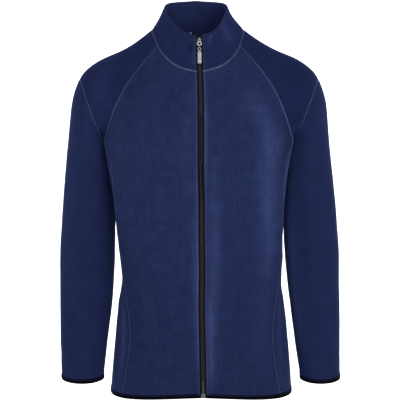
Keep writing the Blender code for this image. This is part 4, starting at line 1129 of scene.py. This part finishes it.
def sweptMesh(name, rings, closed):
    # a closed strip: the first axis of its points goes round it, the second along it
    around = lengthsAlong(np.concatenate([rings, rings[:1]]), 0)
    onward = np.concatenate([lengthsAlong(rings, 1), lengthsAlong(rings[:1], 1)])
    ids = np.arange(rings.shape[0] * rings.shape[1]).reshape(rings.shape[:2])
    if closed:
        ids[:, -1] = ids[:, 0]
    ids = np.concatenate([ids, ids[:1]])
    corners = [np.s_[:-1, :-1], np.s_[:-1, 1:], np.s_[1:, 1:], np.s_[1:, :-1]]
    quads = np.stack([ids[c] for c in corners], axis=-1).reshape(-1, 4)
    flat = np.stack([np.stack([onward[c], around[c]], axis=-1) for c in corners], axis=2).reshape(-1, 2)
    faces = quads.tolist()
    if not closed:
        faces += [ids[:-1, 0].tolist(), ids[:-1, -1][::-1].tolist()]
        ends = np.stack([around[:-1, 0], around[:-1, -1][::-1]])
        flat = np.concatenate([flat, np.stack([ends, ends], axis=-1).reshape(-1, 2)])
    mesh = bpy.data.meshes.new(name)
    mesh.from_pydata(rings.reshape(-1, 3).tolist(), [], faces)
    mesh.uv_layers.new(name="cloth").data.foreach_set("uv", flat.ravel())
    return cleanMesh(mesh)


def makeBindings():
    for name in ("hem_binding", "cuff_binding_left", "cuff_binding_right"):
        index = fine["grids"][name]
        if name != "hem_binding":
            index = index[::-1]
        mesh = sweptMesh(name, sweep(index, boundOutline, boundPucker), name != "hem_binding")
        show(name + "_strip", mesh, looks["bindingCloth"], replaces=[name], slot="binding")


# how wide each tape's top end is and how far it stands above the collar, in millimetres
tapeTops = {"left": (4.4, 4.6), "right": (15.5, 4), "slope": 0.5, "low": 0.03, "columns": 12, "back": 5}


def besideZip(side):
    # the form beside the zip from hem to collar top, a row for each step away from the zip
    tape = fine["grids"]["zip_tape_" + side]
    start = fine["points"][tape[:, -1]]
    parts = []
    row = 0
    for name, firstRow in (("hem_binding", 0), ("front_" + side, 0), ("collar", 1)):
        index = fine["grids"][name][firstRow:]
        if name == "hem_binding":
            index = index[:-1]
        edge = fine["points"][index[0, 0]]
        if np.linalg.norm(edge - start[row]) > form["zipHalfWidth"] / 2:
            index = index[:, ::-1]
        parts.append(index[:, 1:1 + tapeTops["columns"]])
        row += len(index)
    return np.concatenate([tape, np.concatenate(parts)], axis=1).T


def makeTapes():
    across = [across for across, _ in tapeOutline]
    slope, back = tapeTops["slope"], tapeTops["back"]
    for side, _ in sides:
        name = "zip_tape_" + side
        wide, rise = tapeTops[side]
        rings = sweep(besideZip(side), tapeOutline)
        onward = unit(rings[:, -1:] - rings[:, -1 - back:-back])
        high = np.interp(across, [wide - slope, wide + slope], [rise, tapeTops["low"]])
        ends = rings[:, -1:] + onward * high[:, None, None] / 1000 * np.array([0.5, 1.0])[:, None]
        mesh = sweptMesh(name, np.concatenate([rings, ends], axis=1), False)
        show(name + "_woven", mesh, looks["zipTape"], replaces=[name], slot="zip")


makeBindings()
makeTapes()
print("bindings and zip tapes")


# Stitches and zip teeth: small rounded beads set along paths by one tree of nodes

def beadTree():
    inputs = {"Geometry": "Geometry", "Spacing": 0.0025, "Length": 0.002, "Width": 0.0005, "Height": 0.0004,
              "Side": 0.0, "Zigzag": 0.0, "Turn": 0.0, "Lift": 0.0, "Uneven": 0.1, "Segments": 5, "Rings": 3,
              "Seed": 7, "Material": "Material"}
    tree, given, result = newGroup("beadsOnPath", inputs, {"Geometry": "Geometry"}, "GeometryNodeTree")
    curve = addNode(tree, "GeometryNodeMeshToCurve", None, {0: given["Geometry"]})
    path = addNode(tree, "GeometryNodeResampleCurve", {"mode": "LENGTH"},
                   {"Curve": curve.outputs[0], "Length": given["Spacing"]})
    half = [mathNode(tree, "MULTIPLY", given[label], 0.5) for label in ("Height", "Width", "Length")]
    size = addNode(tree, "ShaderNodeCombineXYZ", None, {i: value for i, value in enumerate(half)})
    ball = addNode(tree, "GeometryNodeMeshUVSphere", None,
                   {"Segments": given["Segments"], "Rings": given["Rings"], "Radius": 1.0})
    bead = addNode(tree, "GeometryNodeTransform", None,
                   {"Geometry": ball.outputs[0], "Scale": size.outputs[0], "Rotation": (0, math.pi / 2, 0)})
    soft = addNode(tree, "GeometryNodeSetShadeSmooth", None, {"Geometry": bead.outputs[0]})
    up = addNode(tree, "GeometryNodeInputNamedAttribute", {"data_type": "FLOAT_VECTOR"}, {"Name": "up"})
    onward = addNode(tree, "GeometryNodeInputTangent")
    turned = addNode(tree, "FunctionNodeAxesToRotation", {"primary_axis": "Z", "secondary_axis": "X"},
                     {0: up.outputs[0], 1: onward.outputs[0]})
    uneven = mathNode(tree, "SUBTRACT", 1.0, given["Uneven"])
    scale = addNode(tree, "FunctionNodeRandomValue", {"data_type": "FLOAT"},
                    {2: uneven, 3: mathNode(tree, "ADD", 1.0, given["Uneven"]), "Seed": given["Seed"]})
    beads = addNode(tree, "GeometryNodeInstanceOnPoints", None,
                    {"Points": path.outputs[0], "Instance": soft.outputs[0], "Rotation": turned.outputs[0],
                     "Scale": scale.outputs[1]})
    index = addNode(tree, "GeometryNodeInputIndex")
    sign = mathNode(tree, "MULTIPLY_ADD", mathNode(tree, "MODULO", index.outputs[0], 2.0), 2.0, -1.0)
    away = mathNode(tree, "MULTIPLY_ADD", sign, given["Zigzag"], given["Side"])
    shift = addNode(tree, "ShaderNodeCombineXYZ", None, {0: 0.0, 1: away, 2: given["Lift"]})
    moved = addNode(tree, "GeometryNodeTranslateInstances", None,
                    {"Instances": beads.outputs[0], "Translation": shift.outputs[0], "Local Space": True})
    turn = mathNode(tree, "MULTIPLY", sign, given["Turn"])
    spin = addNode(tree, "ShaderNodeCombineXYZ", None, {0: 0.0, 1: 0.0, 2: turn})
    spun = addNode(tree, "GeometryNodeRotateInstances", None,
                   {"Instances": moved.outputs[0], "Rotation": spin.outputs[0], "Local Space": True})
    real = addNode(tree, "GeometryNodeRealizeInstances", None, {0: spun.outputs[0]})
    painted = addNode(tree, "GeometryNodeSetMaterial", None,
                      {"Geometry": real.outputs[0], "Material": given["Material"]})
    tree.links.new(painted.outputs[0], result["Geometry"])
    return tree


beads = beadTree()


def beadMesh(name, paths, rows, material):
    # the beads of each row of settings along every path, as one plain mesh
    places, ups, edges = [], [], []
    for points, normals, closed in paths:
        first, count = len(places), len(points)
        places += points.tolist()
        ups.append(normals)
        edges += [(first + i, first + (i + 1) % count) for i in range(count if closed else count - 1)]
    line = bpy.data.meshes.new(name + "_path")
    line.from_pydata(places, edges, [])
    line.attributes.new("up", "FLOAT_VECTOR", "POINT").data.foreach_set("vector", np.concatenate(ups).ravel())
    holder = bpy.data.objects.new(name + "_path", line)
    bpy.context.scene.collection.objects.link(holder)
    sockets = {item.name: item.identifier for item in beads.interface.items_tree if item.in_out == "INPUT"}
    shape = bmesh.new()
    for row in rows:
        setter = holder.modifiers.new("beads", "NODES")
        setter.node_group = beads
        for label, value in {**row, "Material": material}.items():
            setter[sockets[label]] = value
        graph = bpy.context.evaluated_depsgraph_get()
        made = bpy.data.meshes.new_from_object(holder.evaluated_get(graph))
        shape.from_mesh(made)
        bpy.data.meshes.remove(made)
        holder.modifiers.remove(setter)
    mesh = bpy.data.meshes.new(name)
    shape.to_mesh(mesh)
    shape.free()
    bpy.data.objects.remove(holder, do_unlink=True)
    mesh.shade_smooth()
    return mesh


def showBeads(name, paths, rows, look, **more):
    return show(name, beadMesh(name, paths, rows, looks[look]), looks[look], **more)


def flatSeam(pitch, gauge, thread):
    # two rows of needle thread and the thread that crosses between them
    cross = math.hypot(pitch / 2, gauge)
    needle = {"Spacing": pitch, "Length": pitch * 0.92, "Width": thread, "Height": thread * 0.8,
              "Lift": thread * 0.3}
    return [{**needle, "Side": gauge / 2}, {**needle, "Side": -gauge / 2, "Seed": 3},
            {"Spacing": pitch / 2, "Length": cross * 1.02, "Width": thread * 0.9, "Height": thread * 0.8,
             "Turn": math.atan2(gauge, pitch / 2), "Lift": thread * 0.2, "Seed": 5}]


def runningStitch(pitch, thread, lift=0.0001):
    return [{"Spacing": pitch, "Length": pitch * 0.86, "Width": thread, "Height": thread * 0.8, "Lift": lift}]


seams = {   # stitch length, width between the needles, thickness of the thread and its look
    "neck": (0.0022, 0.003, 0.0006, "neckThread"), "raglan": (0.0024, 0.0024, 0.00055, "seamThread"),
    "armhole": (0.0026, 0.0017, 0.00048, "blendThread"), "side": (0.0026, 0.0019, 0.00048, "darkThread"),
    "underarm": (0.0028, 0.0019, 0.00048, "darkThread"),
}
topstitch = {"zipAway": 0.0066, "pitch": 0.0028, "thread": 0.00042, "collarAway": (0.0022, 0.008),
             "insideThicker": 1.2, "hemAway": 0.0015, "hemPitch": 0.0026, "hemLift": 0.0009}
neckSeamReach = 0.0012   # the raglan seam's stitches stop this near the neck seam


def border(name, edge):
    grid = grids[name]
    cut = {0: np.s_[0], 1: np.s_[-1], 2: np.s_[:, 0], 3: np.s_[:, -1]}[edge]
    return grid["outer"][cut], grid["normals"][cut], False


def besideEdge(name, edge, distance, face="outer"):
    # the line on a piece's face that keeps one distance from an edge
    grid = grids[name]
    values = np.concatenate([grid[face], grid["normals"]], axis=-1)
    lengths = grid["away"][edge]
    if edge in (2, 3):
        values, lengths = values.transpose(1, 0, 2), lengths.T
    if edge in (1, 3):
        values, lengths = values[::-1], lengths[::-1]
    at = atLength(values, lengths, distance)
    normals = unit(at[:, 3:])
    return at[:, :3], normals if face == "outer" else -normals, False


def seamPaths():
    neck = border("collar", 0)
    paths = {"neck": [neck], "raglan": [], "armhole": [], "side": [], "underarm": []}
    for side, _ in sides:
        points, normals = (values[:-1] for values in border("shoulder_" + side, 0)[:2])
        free = np.linalg.norm(points[:, None] - neck[0][None], axis=-1).min(axis=1) > neckSeamReach
        start = int(np.flatnonzero(free & ~np.roll(free, 1))[0])
        order = (start - 1 + np.arange(int(free.sum()) + 2)) % len(points)
        paths["raglan"].append((points[order], normals[order], False))
        points, normals = (values[:-1] for values in border("sleeve_" + side, 0)[:2])
        paths["armhole"].append((points, normals, True))
        paths["side"] += [border("side_panel_" + side, edge) for edge in (2, 3)]
        paths["underarm"].append(border("sleeve_" + side, 2))
    return paths


def makeStitches():
    for name, paths in seamPaths().items():
        showBeads(name + "_seam_stitches", paths, flatSeam(*seams[name][:3]), seams[name][3])
    pitch, thread, lines = (topstitch[k] for k in ("pitch", "thread", "collarAway"))
    plain = runningStitch(pitch, thread)
    edges = [("front_" + side, 2) for side, _ in sides] + [("collar", edge) for edge in (2, 3)]
    paths = [besideEdge(*edge, topstitch["zipAway"]) for edge in edges]
    showBeads("zip_topstitch", paths, plain, "darkThread")
    showBeads("collar_inside_stitches", [besideEdge("collar", 1, away, "inner") for away in lines],
              runningStitch(pitch, thread * topstitch["insideThicker"]), "blendThread")
    showBeads("collar_topstitch", [besideEdge("collar", 1, away) for away in lines], plain, "darkThread")
    edges = [(name, 0) for name, kinds in clothPieces.items() if kinds[0] == "bound"]
    edges += [("sleeve_" + side, 1) for side, _ in sides]
    paths = [besideEdge(*edge, topstitch["hemAway"]) for edge in edges]
    for points, normals, _ in paths:
        points += normals * topstitch["hemLift"]
    showBeads("binding_topstitch", paths, runningStitch(topstitch["hemPitch"], thread), "darkThread")


makeStitches()
print("stitches")


# Zip: coil, end box, slider, link and tab

zipLook = {
    "topInset": 0.0135, "underBox": 0.0015, "samples": 500, "cordAway": 0.0023,
    "tooth": {"Spacing": 0.00039, "Length": 0.00052, "Width": 0.0024, "Height": 0.0011, "Zigzag": 0.00105,
              "Lift": 0.0007, "Uneven": 0.03, "Segments": 6, "Rings": 4},
    "cord": {"Spacing": 0.0017, "Length": 0.0021, "Width": 0.00075, "Height": 0.00075, "Lift": -0.0001,
             "Uneven": 0.04},
}
zipFrameSpan = 0.004   # how far up and down the zip its way is read


def zipLine():
    # middle of the zip from the collar top down, with its lengths
    index = fine["grids"]["zip_tape_left"][::-1, 0]
    points, normals = fine["points"][index], fine["normals"][index]
    return points, normals, lengthsAlong(points, 0)


def zipFrame(at):
    # X across the zip, Y out of the cloth, Z up it
    points, normals, lengths = zipLine()
    place, before, after = (Vector([float(np.interp(s, lengths, points[:, axis])) for axis in range(3)])
                            for s in (at, at - zipFrameSpan, at + zipFrameSpan))
    normal = Vector([float(np.interp(at, lengths, normals[:, axis])) for axis in range(3)])
    up = (before - after).normalized()
    normal = (normal - up * normal.dot(up)).normalized()
    turn = Matrix((normal.cross(up), normal, up)).transposed().to_4x4()
    return Matrix.Translation(place) @ turn


def makeCoil(look):
    points, normals, lengths = zipLine()
    at = np.linspace(look["topInset"], lengths[-1] - endBox["length"] + look["underBox"], look["samples"])
    line, facing = (np.stack([np.interp(at, lengths, values[:, axis]) for axis in range(3)], axis=-1)
                    for values in (points, normals))
    facing = unit(facing)
    showBeads("zip_teeth", [(line, facing, False)], [look["tooth"]], "zipCoil", replaces=["zip_chain"],
              slot="zip")
    across = unit(np.cross(facing, np.gradient(line, axis=0)))
    paths = [(line + across * look["cordAway"] * sign, facing, False) for sign in (-1, 1)]
    showBeads("zip_teeth_cords", paths, [look["cord"]], "zipCoil")


endBox = {"width": 0.0078, "length": 0.009, "thick": 0.0024, "lift": 0.0003, "round": (0.0009, 0.0005),
          "rib": (0.24, 0.72), "ribAt": 0.24, "ribRise": 0.0005, "ribRound": (0.0005, 0.0002)}
makeCoil(zipLook)

hardware = {   # sizes in metres; the places come from the CAD hinges
    "rounding": 0.00022, "slider": (0.0098, 0.0125), "plate": 0.0009, "plateLift": 0.0018, "sideLift": 0.0003,
    "sliderRound": 0.0011, "raised": (0.72, 0.78), "raisedRound": 0.0009, "raisedRise": 0.0003,
    "sideUp": 0.18, "sideLong": 0.52, "sideShorter": 0.0002,
    "crown": (0.0076, 0.0048, 0.0008), "crownWidth": 0.002, "crownRise": 0.0022,
    "sheet": 0.0012, "bar": 0.001, "gap": 0.003, "eye": 0.0092, "eyeRadius": 0.0051, "eyeHole": 0.0024,
    "rim": 0.8, "rimHole": 1.45, "rimRise": 0.00024,
    "ringRadius": 0.00245, "ringWire": 0.0003, "ringDrop": 0.0066,
    "tabStart": 0.0022, "tabLength": 0.0354, "tabWidth": 0.0079, "tabEye": 0.0078, "tabEyeRadius": 0.0038,
    "tabHole": 0.0018, "tabNeck": 0.004, "tabNeckUp": 0.95, "tabHip": 0.015, "eyeTurns": (-58, 239, 9),
    "groove": 0.0102, "grooveWidth": 0.002, "pad": 0.00026, "padInset": 0.0005, "padRound": 0.0006,
    "padEdge": 0.00012, "bow": 0.0013, "soft": 0.0003, "fine": 0.0001,
}
# half outlines: of the slider as parts of its width and length, and of the tab and its two pads as a part of
# the half width, inset or not, and a height above one of its lines
sliderHalf = ((0.4, -0.5), (0.5, -0.05), (0.5, 0.4), (0.3, 0.5))
tabHalf = ((0.72, 0, "hip", 0.0022), (1, 0, "hip", 0), (0.97, 0, "hip", -0.004), (0.93, 0, "end", 0.0105),
           (1, 0, "end", 0.0045), (0.97, 0, "end", 0.0022), (0.84, 0, "end", 0.0003), (0.55, 0, "end", 0))
padHalves = (((0.9, 1, "grooveTop", 0), (0.94, 1, "hip", 0), (0.5, 0, "hip", 0.002)),
             ((0.8, 1, "end", 0.0005), (0.97, 1, "end", 0.0042), (0.9, 1, "grooveEnd", 0)))
flatWay = Matrix(((1, 0, 0, 0), (0, 0, -1, 0), (0, 1, 0, 0), (0, 0, 0, 1)))
sideWay = Matrix(((0, 0, 1, 0), (0, 1, 0, 0), (-1, 0, 0, 0), (0, 0, 0, 1)))


def circle(radius, count, middle=(0, 0)):
    return [(middle[0] + radius * math.cos(2 * math.pi * i / count),
             middle[1] + radius * math.sin(2 * math.pi * i / count)) for i in range(count)]


def bothHalves(right):
    # a closed outline from the corners of its right half
    left = [(-x, y) for x, y in right]
    return left[:1] + right + left[:0:-1]


def roundedOutline(corners, radius, steps=5):
    # a polygon with each corner replaced by an arc
    outline = []
    for i, corner in enumerate(corners):
        here, before, after = Vector(corner), Vector(corners[i - 1]), Vector(corners[(i + 1) % len(corners)])
        into, out = (before - here).normalized(), (after - here).normalized()
        start, end = here + into * radius, here + out * radius
        for step in range(steps + 1):
            t = step / steps
            outline.append(tuple(start * (1 - t)**2 + here * 2 * t * (1 - t) + end * t**2))
    return outline


def plate(outline, thick, place, holes=(), rounding=None):
    # a plate with rounded edges and round holes, in a bmesh of its own
    shape = bmesh.new()
    for loop in (outline, *holes):
        corners = [shape.verts.new((x, y, -thick / 2)) for x, y in loop]
        for i, corner in enumerate(corners):
            shape.edges.new((corner, corners[(i + 1) % len(corners)]))
    bmesh.ops.triangle_fill(shape, use_beauty=True, edges=shape.edges)
    made = bmesh.ops.extrude_face_region(shape, geom=shape.faces[:])
    top = [part for part in made["geom"] if isinstance(part, bmesh.types.BMVert)]
    bmesh.ops.translate(shape, vec=(0, 0, thick), verts=top)
    bmesh.ops.recalc_face_normals(shape, faces=shape.faces)
    sharp = [e for e in shape.edges if e.is_manifold and e.calc_face_angle() > 1.2]
    bmesh.ops.bevel(shape, geom=sharp, offset=rounding or hardware["rounding"], segments=3, profile=0.5,
                    affect="EDGES", clamp_overlap=True)
    bmesh.ops.transform(shape, matrix=place, verts=shape.verts)
    return shape


def ringOf(radius, wire, nRing=36, nWire=12):
    # a ring of round wire standing square to X
    shape = bmesh.new()
    rows = []
    for i in range(nRing):
        turn = 2 * math.pi * i / nRing
        row = []
        for j in range(nWire):
            angle = 2 * math.pi * j / nWire
            reach = radius + wire * math.cos(angle)
            place = (wire * math.sin(angle), reach * math.cos(turn), reach * math.sin(turn))
            row.append(shape.verts.new(place))
        rows.append(row)
    for i in range(nRing):
        for j in range(nWire):
            a, b = rows[i], rows[(i + 1) % nRing]
            k = (j + 1) % nWire
            shape.faces.new((a[j], b[j], b[k], a[k]))
    bmesh.ops.recalc_face_normals(shape, faces=shape.faces)
    return shape


def showMetal(name, shapes, place, body, look="silverMetal", node=None, slot="silver_metal"):
    whole = bmesh.new()
    for shape in shapes:
        part = bpy.data.meshes.new(name)
        shape.to_mesh(part)
        shape.free()
        whole.from_mesh(part)
        bpy.data.meshes.remove(part)
    bmesh.ops.transform(whole, matrix=place, verts=whole.verts)
    mesh = bpy.data.meshes.new(name)
    whole.to_mesh(mesh)
    whole.free()
    mesh.shade_smooth()
    mesh.set_sharp_from_angle(angle=math.radians(50))
    return show(name, mesh, looks[look], body, replaces=[node] if node else (), slot=slot)


def box2d(width, length, middle=(0, 0)):
    x, y = middle
    return [(x - width / 2, y - length / 2), (x + width / 2, y - length / 2), (x + width / 2, y + length / 2),
            (x - width / 2, y + length / 2)]


def archOutline(length, height, thick, foot, steps=24):
    outline = []
    for reach, rise, order in ((length / 2, height, 1), (length / 2 - thick, height - thick, -1)):
        stops = [math.pi * i / steps for i in range(steps + 1)][::order]
        outline.append((reach * order, -foot))
        outline += [(reach * math.cos(stop), rise * math.sin(stop)) for stop in stops]
        outline.append((-reach * order, -foot))
    return outline


def hingeFrame(joint):
    # X across the zip, Y out of the cloth, Z up, at one of the CAD hinges
    first, second = (Vector(j["pos_m"]) for j in frame["joints"])
    up = (first - second).normalized()
    across = Vector(frame["joints"][0]["axis"])
    across = (across - up * across.dot(up)).normalized()
    turn = Matrix((across, up.cross(across), up)).transposed().to_4x4()
    return Matrix.Translation(Vector(frame["joints"][joint]["pos_m"])) @ turn


def makeSlider(look):
    pin = look["plateLift"] + look["plate"] + (look["crown"][1] - look["crown"][2]) / 2
    place = hingeFrame(0) @ Matrix.Translation((0, -pin, -look["crownRise"]))
    width, length = look["slider"]
    corners = bothHalves([(width * x, length * y) for x, y in sliderHalf])
    high = look["plateLift"] + look["plate"] / 2
    lower, upper = (Matrix.Translation((0, y, 0)) @ flatWay for y in (high, high + look["plate"] / 2))
    raised = [(x * look["raised"][0], y * look["raised"][1]) for x, y in corners]
    shapes = [plate(roundedOutline(corners, look["sliderRound"]), look["plate"], lower),
              plate(roundedOutline(raised, look["raisedRound"]), look["raisedRise"], upper, (), look["fine"])]
    deep = look["plateLift"] + look["plate"] - look["sideLift"]
    wall = box2d(length * look["sideLong"], deep - look["sideShorter"])
    for sign in (-1, 1):
        middle = (sign * (width - look["plate"]) / 2, look["sideLift"] + deep / 2, length * look["sideUp"])
        shapes.append(plate(wall, look["plate"], Matrix.Translation(middle) @ sideWay))
    crown = archOutline(*look["crown"], look["plate"] / 2)
    middle = Matrix.Translation((0, look["plateLift"] + look["plate"], look["crownRise"]))
    arch = [plate(crown, look["crownWidth"], middle @ sideWay, (), look["soft"])]
    # slider plates in the darker metal, painted shade
    showMetal("zip_slider_metal", shapes, place, "garment", "shadedSliderMetal", "zip_slider")
    showMetal("zip_slider_crown", arch, place, "garment")


def makeLink(look):
    eye = Matrix.Translation((0, 0, -look["eye"])) @ flatWay
    radius, hole = look["eyeRadius"], look["eyeHole"]
    shapes = [plate(circle(radius, 48), look["sheet"], eye, [circle(hole, 28)]),
              plate(circle(radius * look["rim"], 44), look["sheet"] + look["rimRise"], eye,
                    [circle(hole * look["rimHole"], 28)], look["fine"])]
    bar, gap = look["bar"], look["gap"]
    shapes.append(plate(box2d(gap + 2 * bar, bar), bar, flatWay, (), look["soft"]))
    long = look["eye"] - radius + 2 * bar
    for sign in (-1, 1):
        leg = box2d(bar, long, (sign * (gap + bar) / 2, (bar - long) / 2))
        shapes.append(plate(leg, bar, flatWay, (), look["soft"]))
    showMetal("zip_pull_link_metal", shapes, hingeFrame(0), "pull_link", node="zip_pull_link")


def makeTab(look):
    # an eye, a narrow neck and a body with a groove across it, hung on a long ring of wire
    end = -look["tabStart"] - look["tabLength"]
    eye, hip = -look["tabEye"], -look["tabHip"]
    reach, neck, wide = look["tabEyeRadius"], look["tabNeck"] / 2, look["tabWidth"] / 2
    groove, half = end + look["groove"], look["grooveWidth"] / 2
    lines = {"hip": hip, "end": end, "grooveTop": groove + half, "grooveEnd": groove - half}
    side, *pads = ([(wide * part - look["padInset"] * inset, lines[line] + above)
                    for part, inset, line, above in corners] for corners in (tabHalf, *padHalves))
    side.insert(0, (neck, eye - reach * look["tabNeckUp"]))
    turns = [math.radians(angle) for angle in range(*look["eyeTurns"])]
    top = [(reach * math.cos(turn), eye + reach * math.sin(turn)) for turn in turns]
    outline = top + [(-x, z) for x, z in side] + side[::-1]
    shapes = [plate(outline, look["sheet"], flatWay, [circle(look["tabHole"], 24, (0, eye))], look["soft"])]
    for pad in pads:
        outline = roundedOutline(bothHalves(pad), look["padRound"])
        shapes.append(plate(outline, look["sheet"] + 2 * look["pad"], flatWay, (), look["padEdge"]))
    link = ringOf(look["ringRadius"], look["ringWire"])
    for corner in link.verts:
        if corner.co.z < 0:
            corner.co.z *= look["ringDrop"] / look["ringRadius"]
    for shape in shapes:
        for corner in shape.verts:
            corner.co.y -= look["bow"] * ((corner.co.z - hip) / (hip - end)) ** 2
    # the tab in the darker silver, painted shade
    showMetal("zip_pull_tab_metal", shapes, hingeFrame(1), "pull_tab", "shadedTabMetal", "zip_pull_tab")
    showMetal("zip_pull_wire", [link], hingeFrame(1), "pull_tab")


def makeEndBox(look):
    length, width, thick = look["length"], look["width"], look["thick"]
    place = zipFrame(zipLine()[2][-1] - length / 2)
    middle = Matrix.Translation((0, look["lift"] + thick / 2, 0)) @ flatWay
    corner, edge = look["round"]
    shapes = [plate(roundedOutline(box2d(width, length), corner), thick, middle, (), edge)]
    corner, edge = look["ribRound"]
    for sign in (-1, 1):
        rib = box2d(width * look["rib"][0], length * look["rib"][1], (sign * width * look["ribAt"], 0))
        shapes.append(plate(roundedOutline(rib, corner), thick + look["ribRise"], middle, (), edge))
    showMetal("zip_end_box_plastic", shapes, place, "garment", "greyEndBox", "zip_end_box", "grey_end_box")


topStop = {"along": 0.0105, "above": 0.0012, "inward": 0.003, "size": (0.0021, 0.0017), "thick": 0.0008,
           "round": (0.0005, 0.0002)}


def makeTopStop(look):
    # a small metal stop on the right tape's end
    grid = fine["points"][fine["grids"]["collar"]][::-1, ::-1]
    span = lengthsAlong(grid[0], 0)
    at = int((span < look["along"]).sum())
    edge, below, before, after = (
        Vector(grid[row, column]) for row, column in ((0, at), (4, at), (0, at - 3), (0, at + 3)))
    across = (before - after).normalized()
    up = (edge - below).normalized()
    out = up.cross(across).normalized()
    turn = Matrix((across, out, across.cross(out))).transposed().to_4x4()
    place = Matrix.Translation(edge + up * look["above"] - out * look["inward"]) @ turn
    corner, rounding = look["round"]
    shape = plate(roundedOutline(box2d(*look["size"]), corner), look["thick"], flatWay, (), rounding)
    showMetal("zip_top_stop", [shape], place, "garment")


makeSlider(hardware)
makeLink(hardware)
makeTab(hardware)
makeEndBox(endBox)
makeTopStop(topStop)
print("zip and its pull")


# Camera, light and floor

view = {"distance": 4.0, "pitch": 2.5, "aim": (0.001, 0.0, -0.32), "lens": 180.0}
lamps = {   # place, size, strength, colour
    "key": ((0.5, -2.7, 0.8), 3.0, 78, (1, 1, 1)),
    "fill": ((2.0, -2.6, 0.3), 2.0, 26, (1, 1, 1)),
    "leftEdge": ((-2.6, -0.6, 0.3), 1.6, 22, (1, 1, 1)),
    "rightEdge": ((2.6, 0.2, 0.3), 1.6, 10, (1, 1, 1)),
}
floorLook = {"height": -1.45, "reach": 14.0, "radius": 3.0, "depth": 7.0, "wall": 12, "steps": 16}
surround = {"seen": 1.0, "light": 0.5}   # how bright the white room looks, and how bright it shines


def makeCamera():
    pitch = math.radians(view["pitch"])
    aim = Vector(view["aim"])
    data = bpy.data.cameras.new("camera")
    data.lens, data.sensor_width = view["lens"], 36
    camera = bpy.data.objects.new("camera", data)
    camera.location = aim + view["distance"] * Vector((0, -math.cos(pitch), math.sin(pitch)))
    camera.rotation_euler = (math.pi / 2 - pitch, 0, 0)
    bpy.context.scene.collection.objects.link(camera)
    bpy.context.scene.camera = camera


def whiteRoom(tree):
    seen = addNode(tree, "ShaderNodeLightPath")
    return rangeNode(tree, seen.outputs["Is Camera Ray"], 0.0, 1.0, surround["light"], surround["seen"])


def makeLamps():
    for name, (place, size, strength, colour) in lamps.items():
        data = bpy.data.lights.new(name, "AREA")
        data.size, data.energy, data.color = size, strength, colour
        lamp = bpy.data.objects.new(name, data)
        lamp.location = place
        lamp.rotation_euler = (Vector(view["aim"]) - Vector(place)).to_track_quat("-Z", "Y").to_euler()
        bpy.context.scene.collection.objects.link(lamp)
    world = bpy.data.worlds.new("studio")
    bpy.context.scene.world = world
    world.use_nodes = True
    background = world.node_tree.nodes["Background"]
    background.inputs[0].default_value = (1, 1, 1, 1)
    world.node_tree.links.new(whiteRoom(world.node_tree), background.inputs[1])


def makeFloor():
    # a pale floor that curves up behind
    low, reach, radius, depth, steps = (floorLook[k] for k in ("height", "reach", "radius", "depth", "steps"))
    line = [(-depth, low)]
    line += [(depth + radius * math.sin(a), low + radius * (1 - math.cos(a)))
             for a in (math.pi / 2 * i / steps for i in range(steps + 1))]
    line.append((depth + radius, low + floorLook["wall"]))
    points = [(x, y, z) for y, z in line for x in (-reach, reach)]
    faces = [(2 * i, 2 * i + 1, 2 * i + 3, 2 * i + 2) for i in range(len(line) - 1)]
    mesh = bpy.data.meshes.new("floor")
    mesh.from_pydata(points, [], faces)
    mesh.shade_smooth()
    paint, tree, shader = newMaterial("paleFloor", 0.9)
    shader.inputs["Base Color"].default_value = (0.9, 0.9, 0.9, 1)
    shader.inputs["Emission Color"].default_value = (1, 1, 1, 1)
    tree.links.new(whiteRoom(tree), shader.inputs["Emission Strength"])
    mesh.materials.append(paint)
    floor = bpy.data.objects.new("floor", mesh)
    bpy.context.scene.collection.objects.link(floor)


bpy.context.scene.view_settings.view_transform = "Standard"
makeCamera()
makeLamps()
makeFloor()
print("camera, lamps and floor")
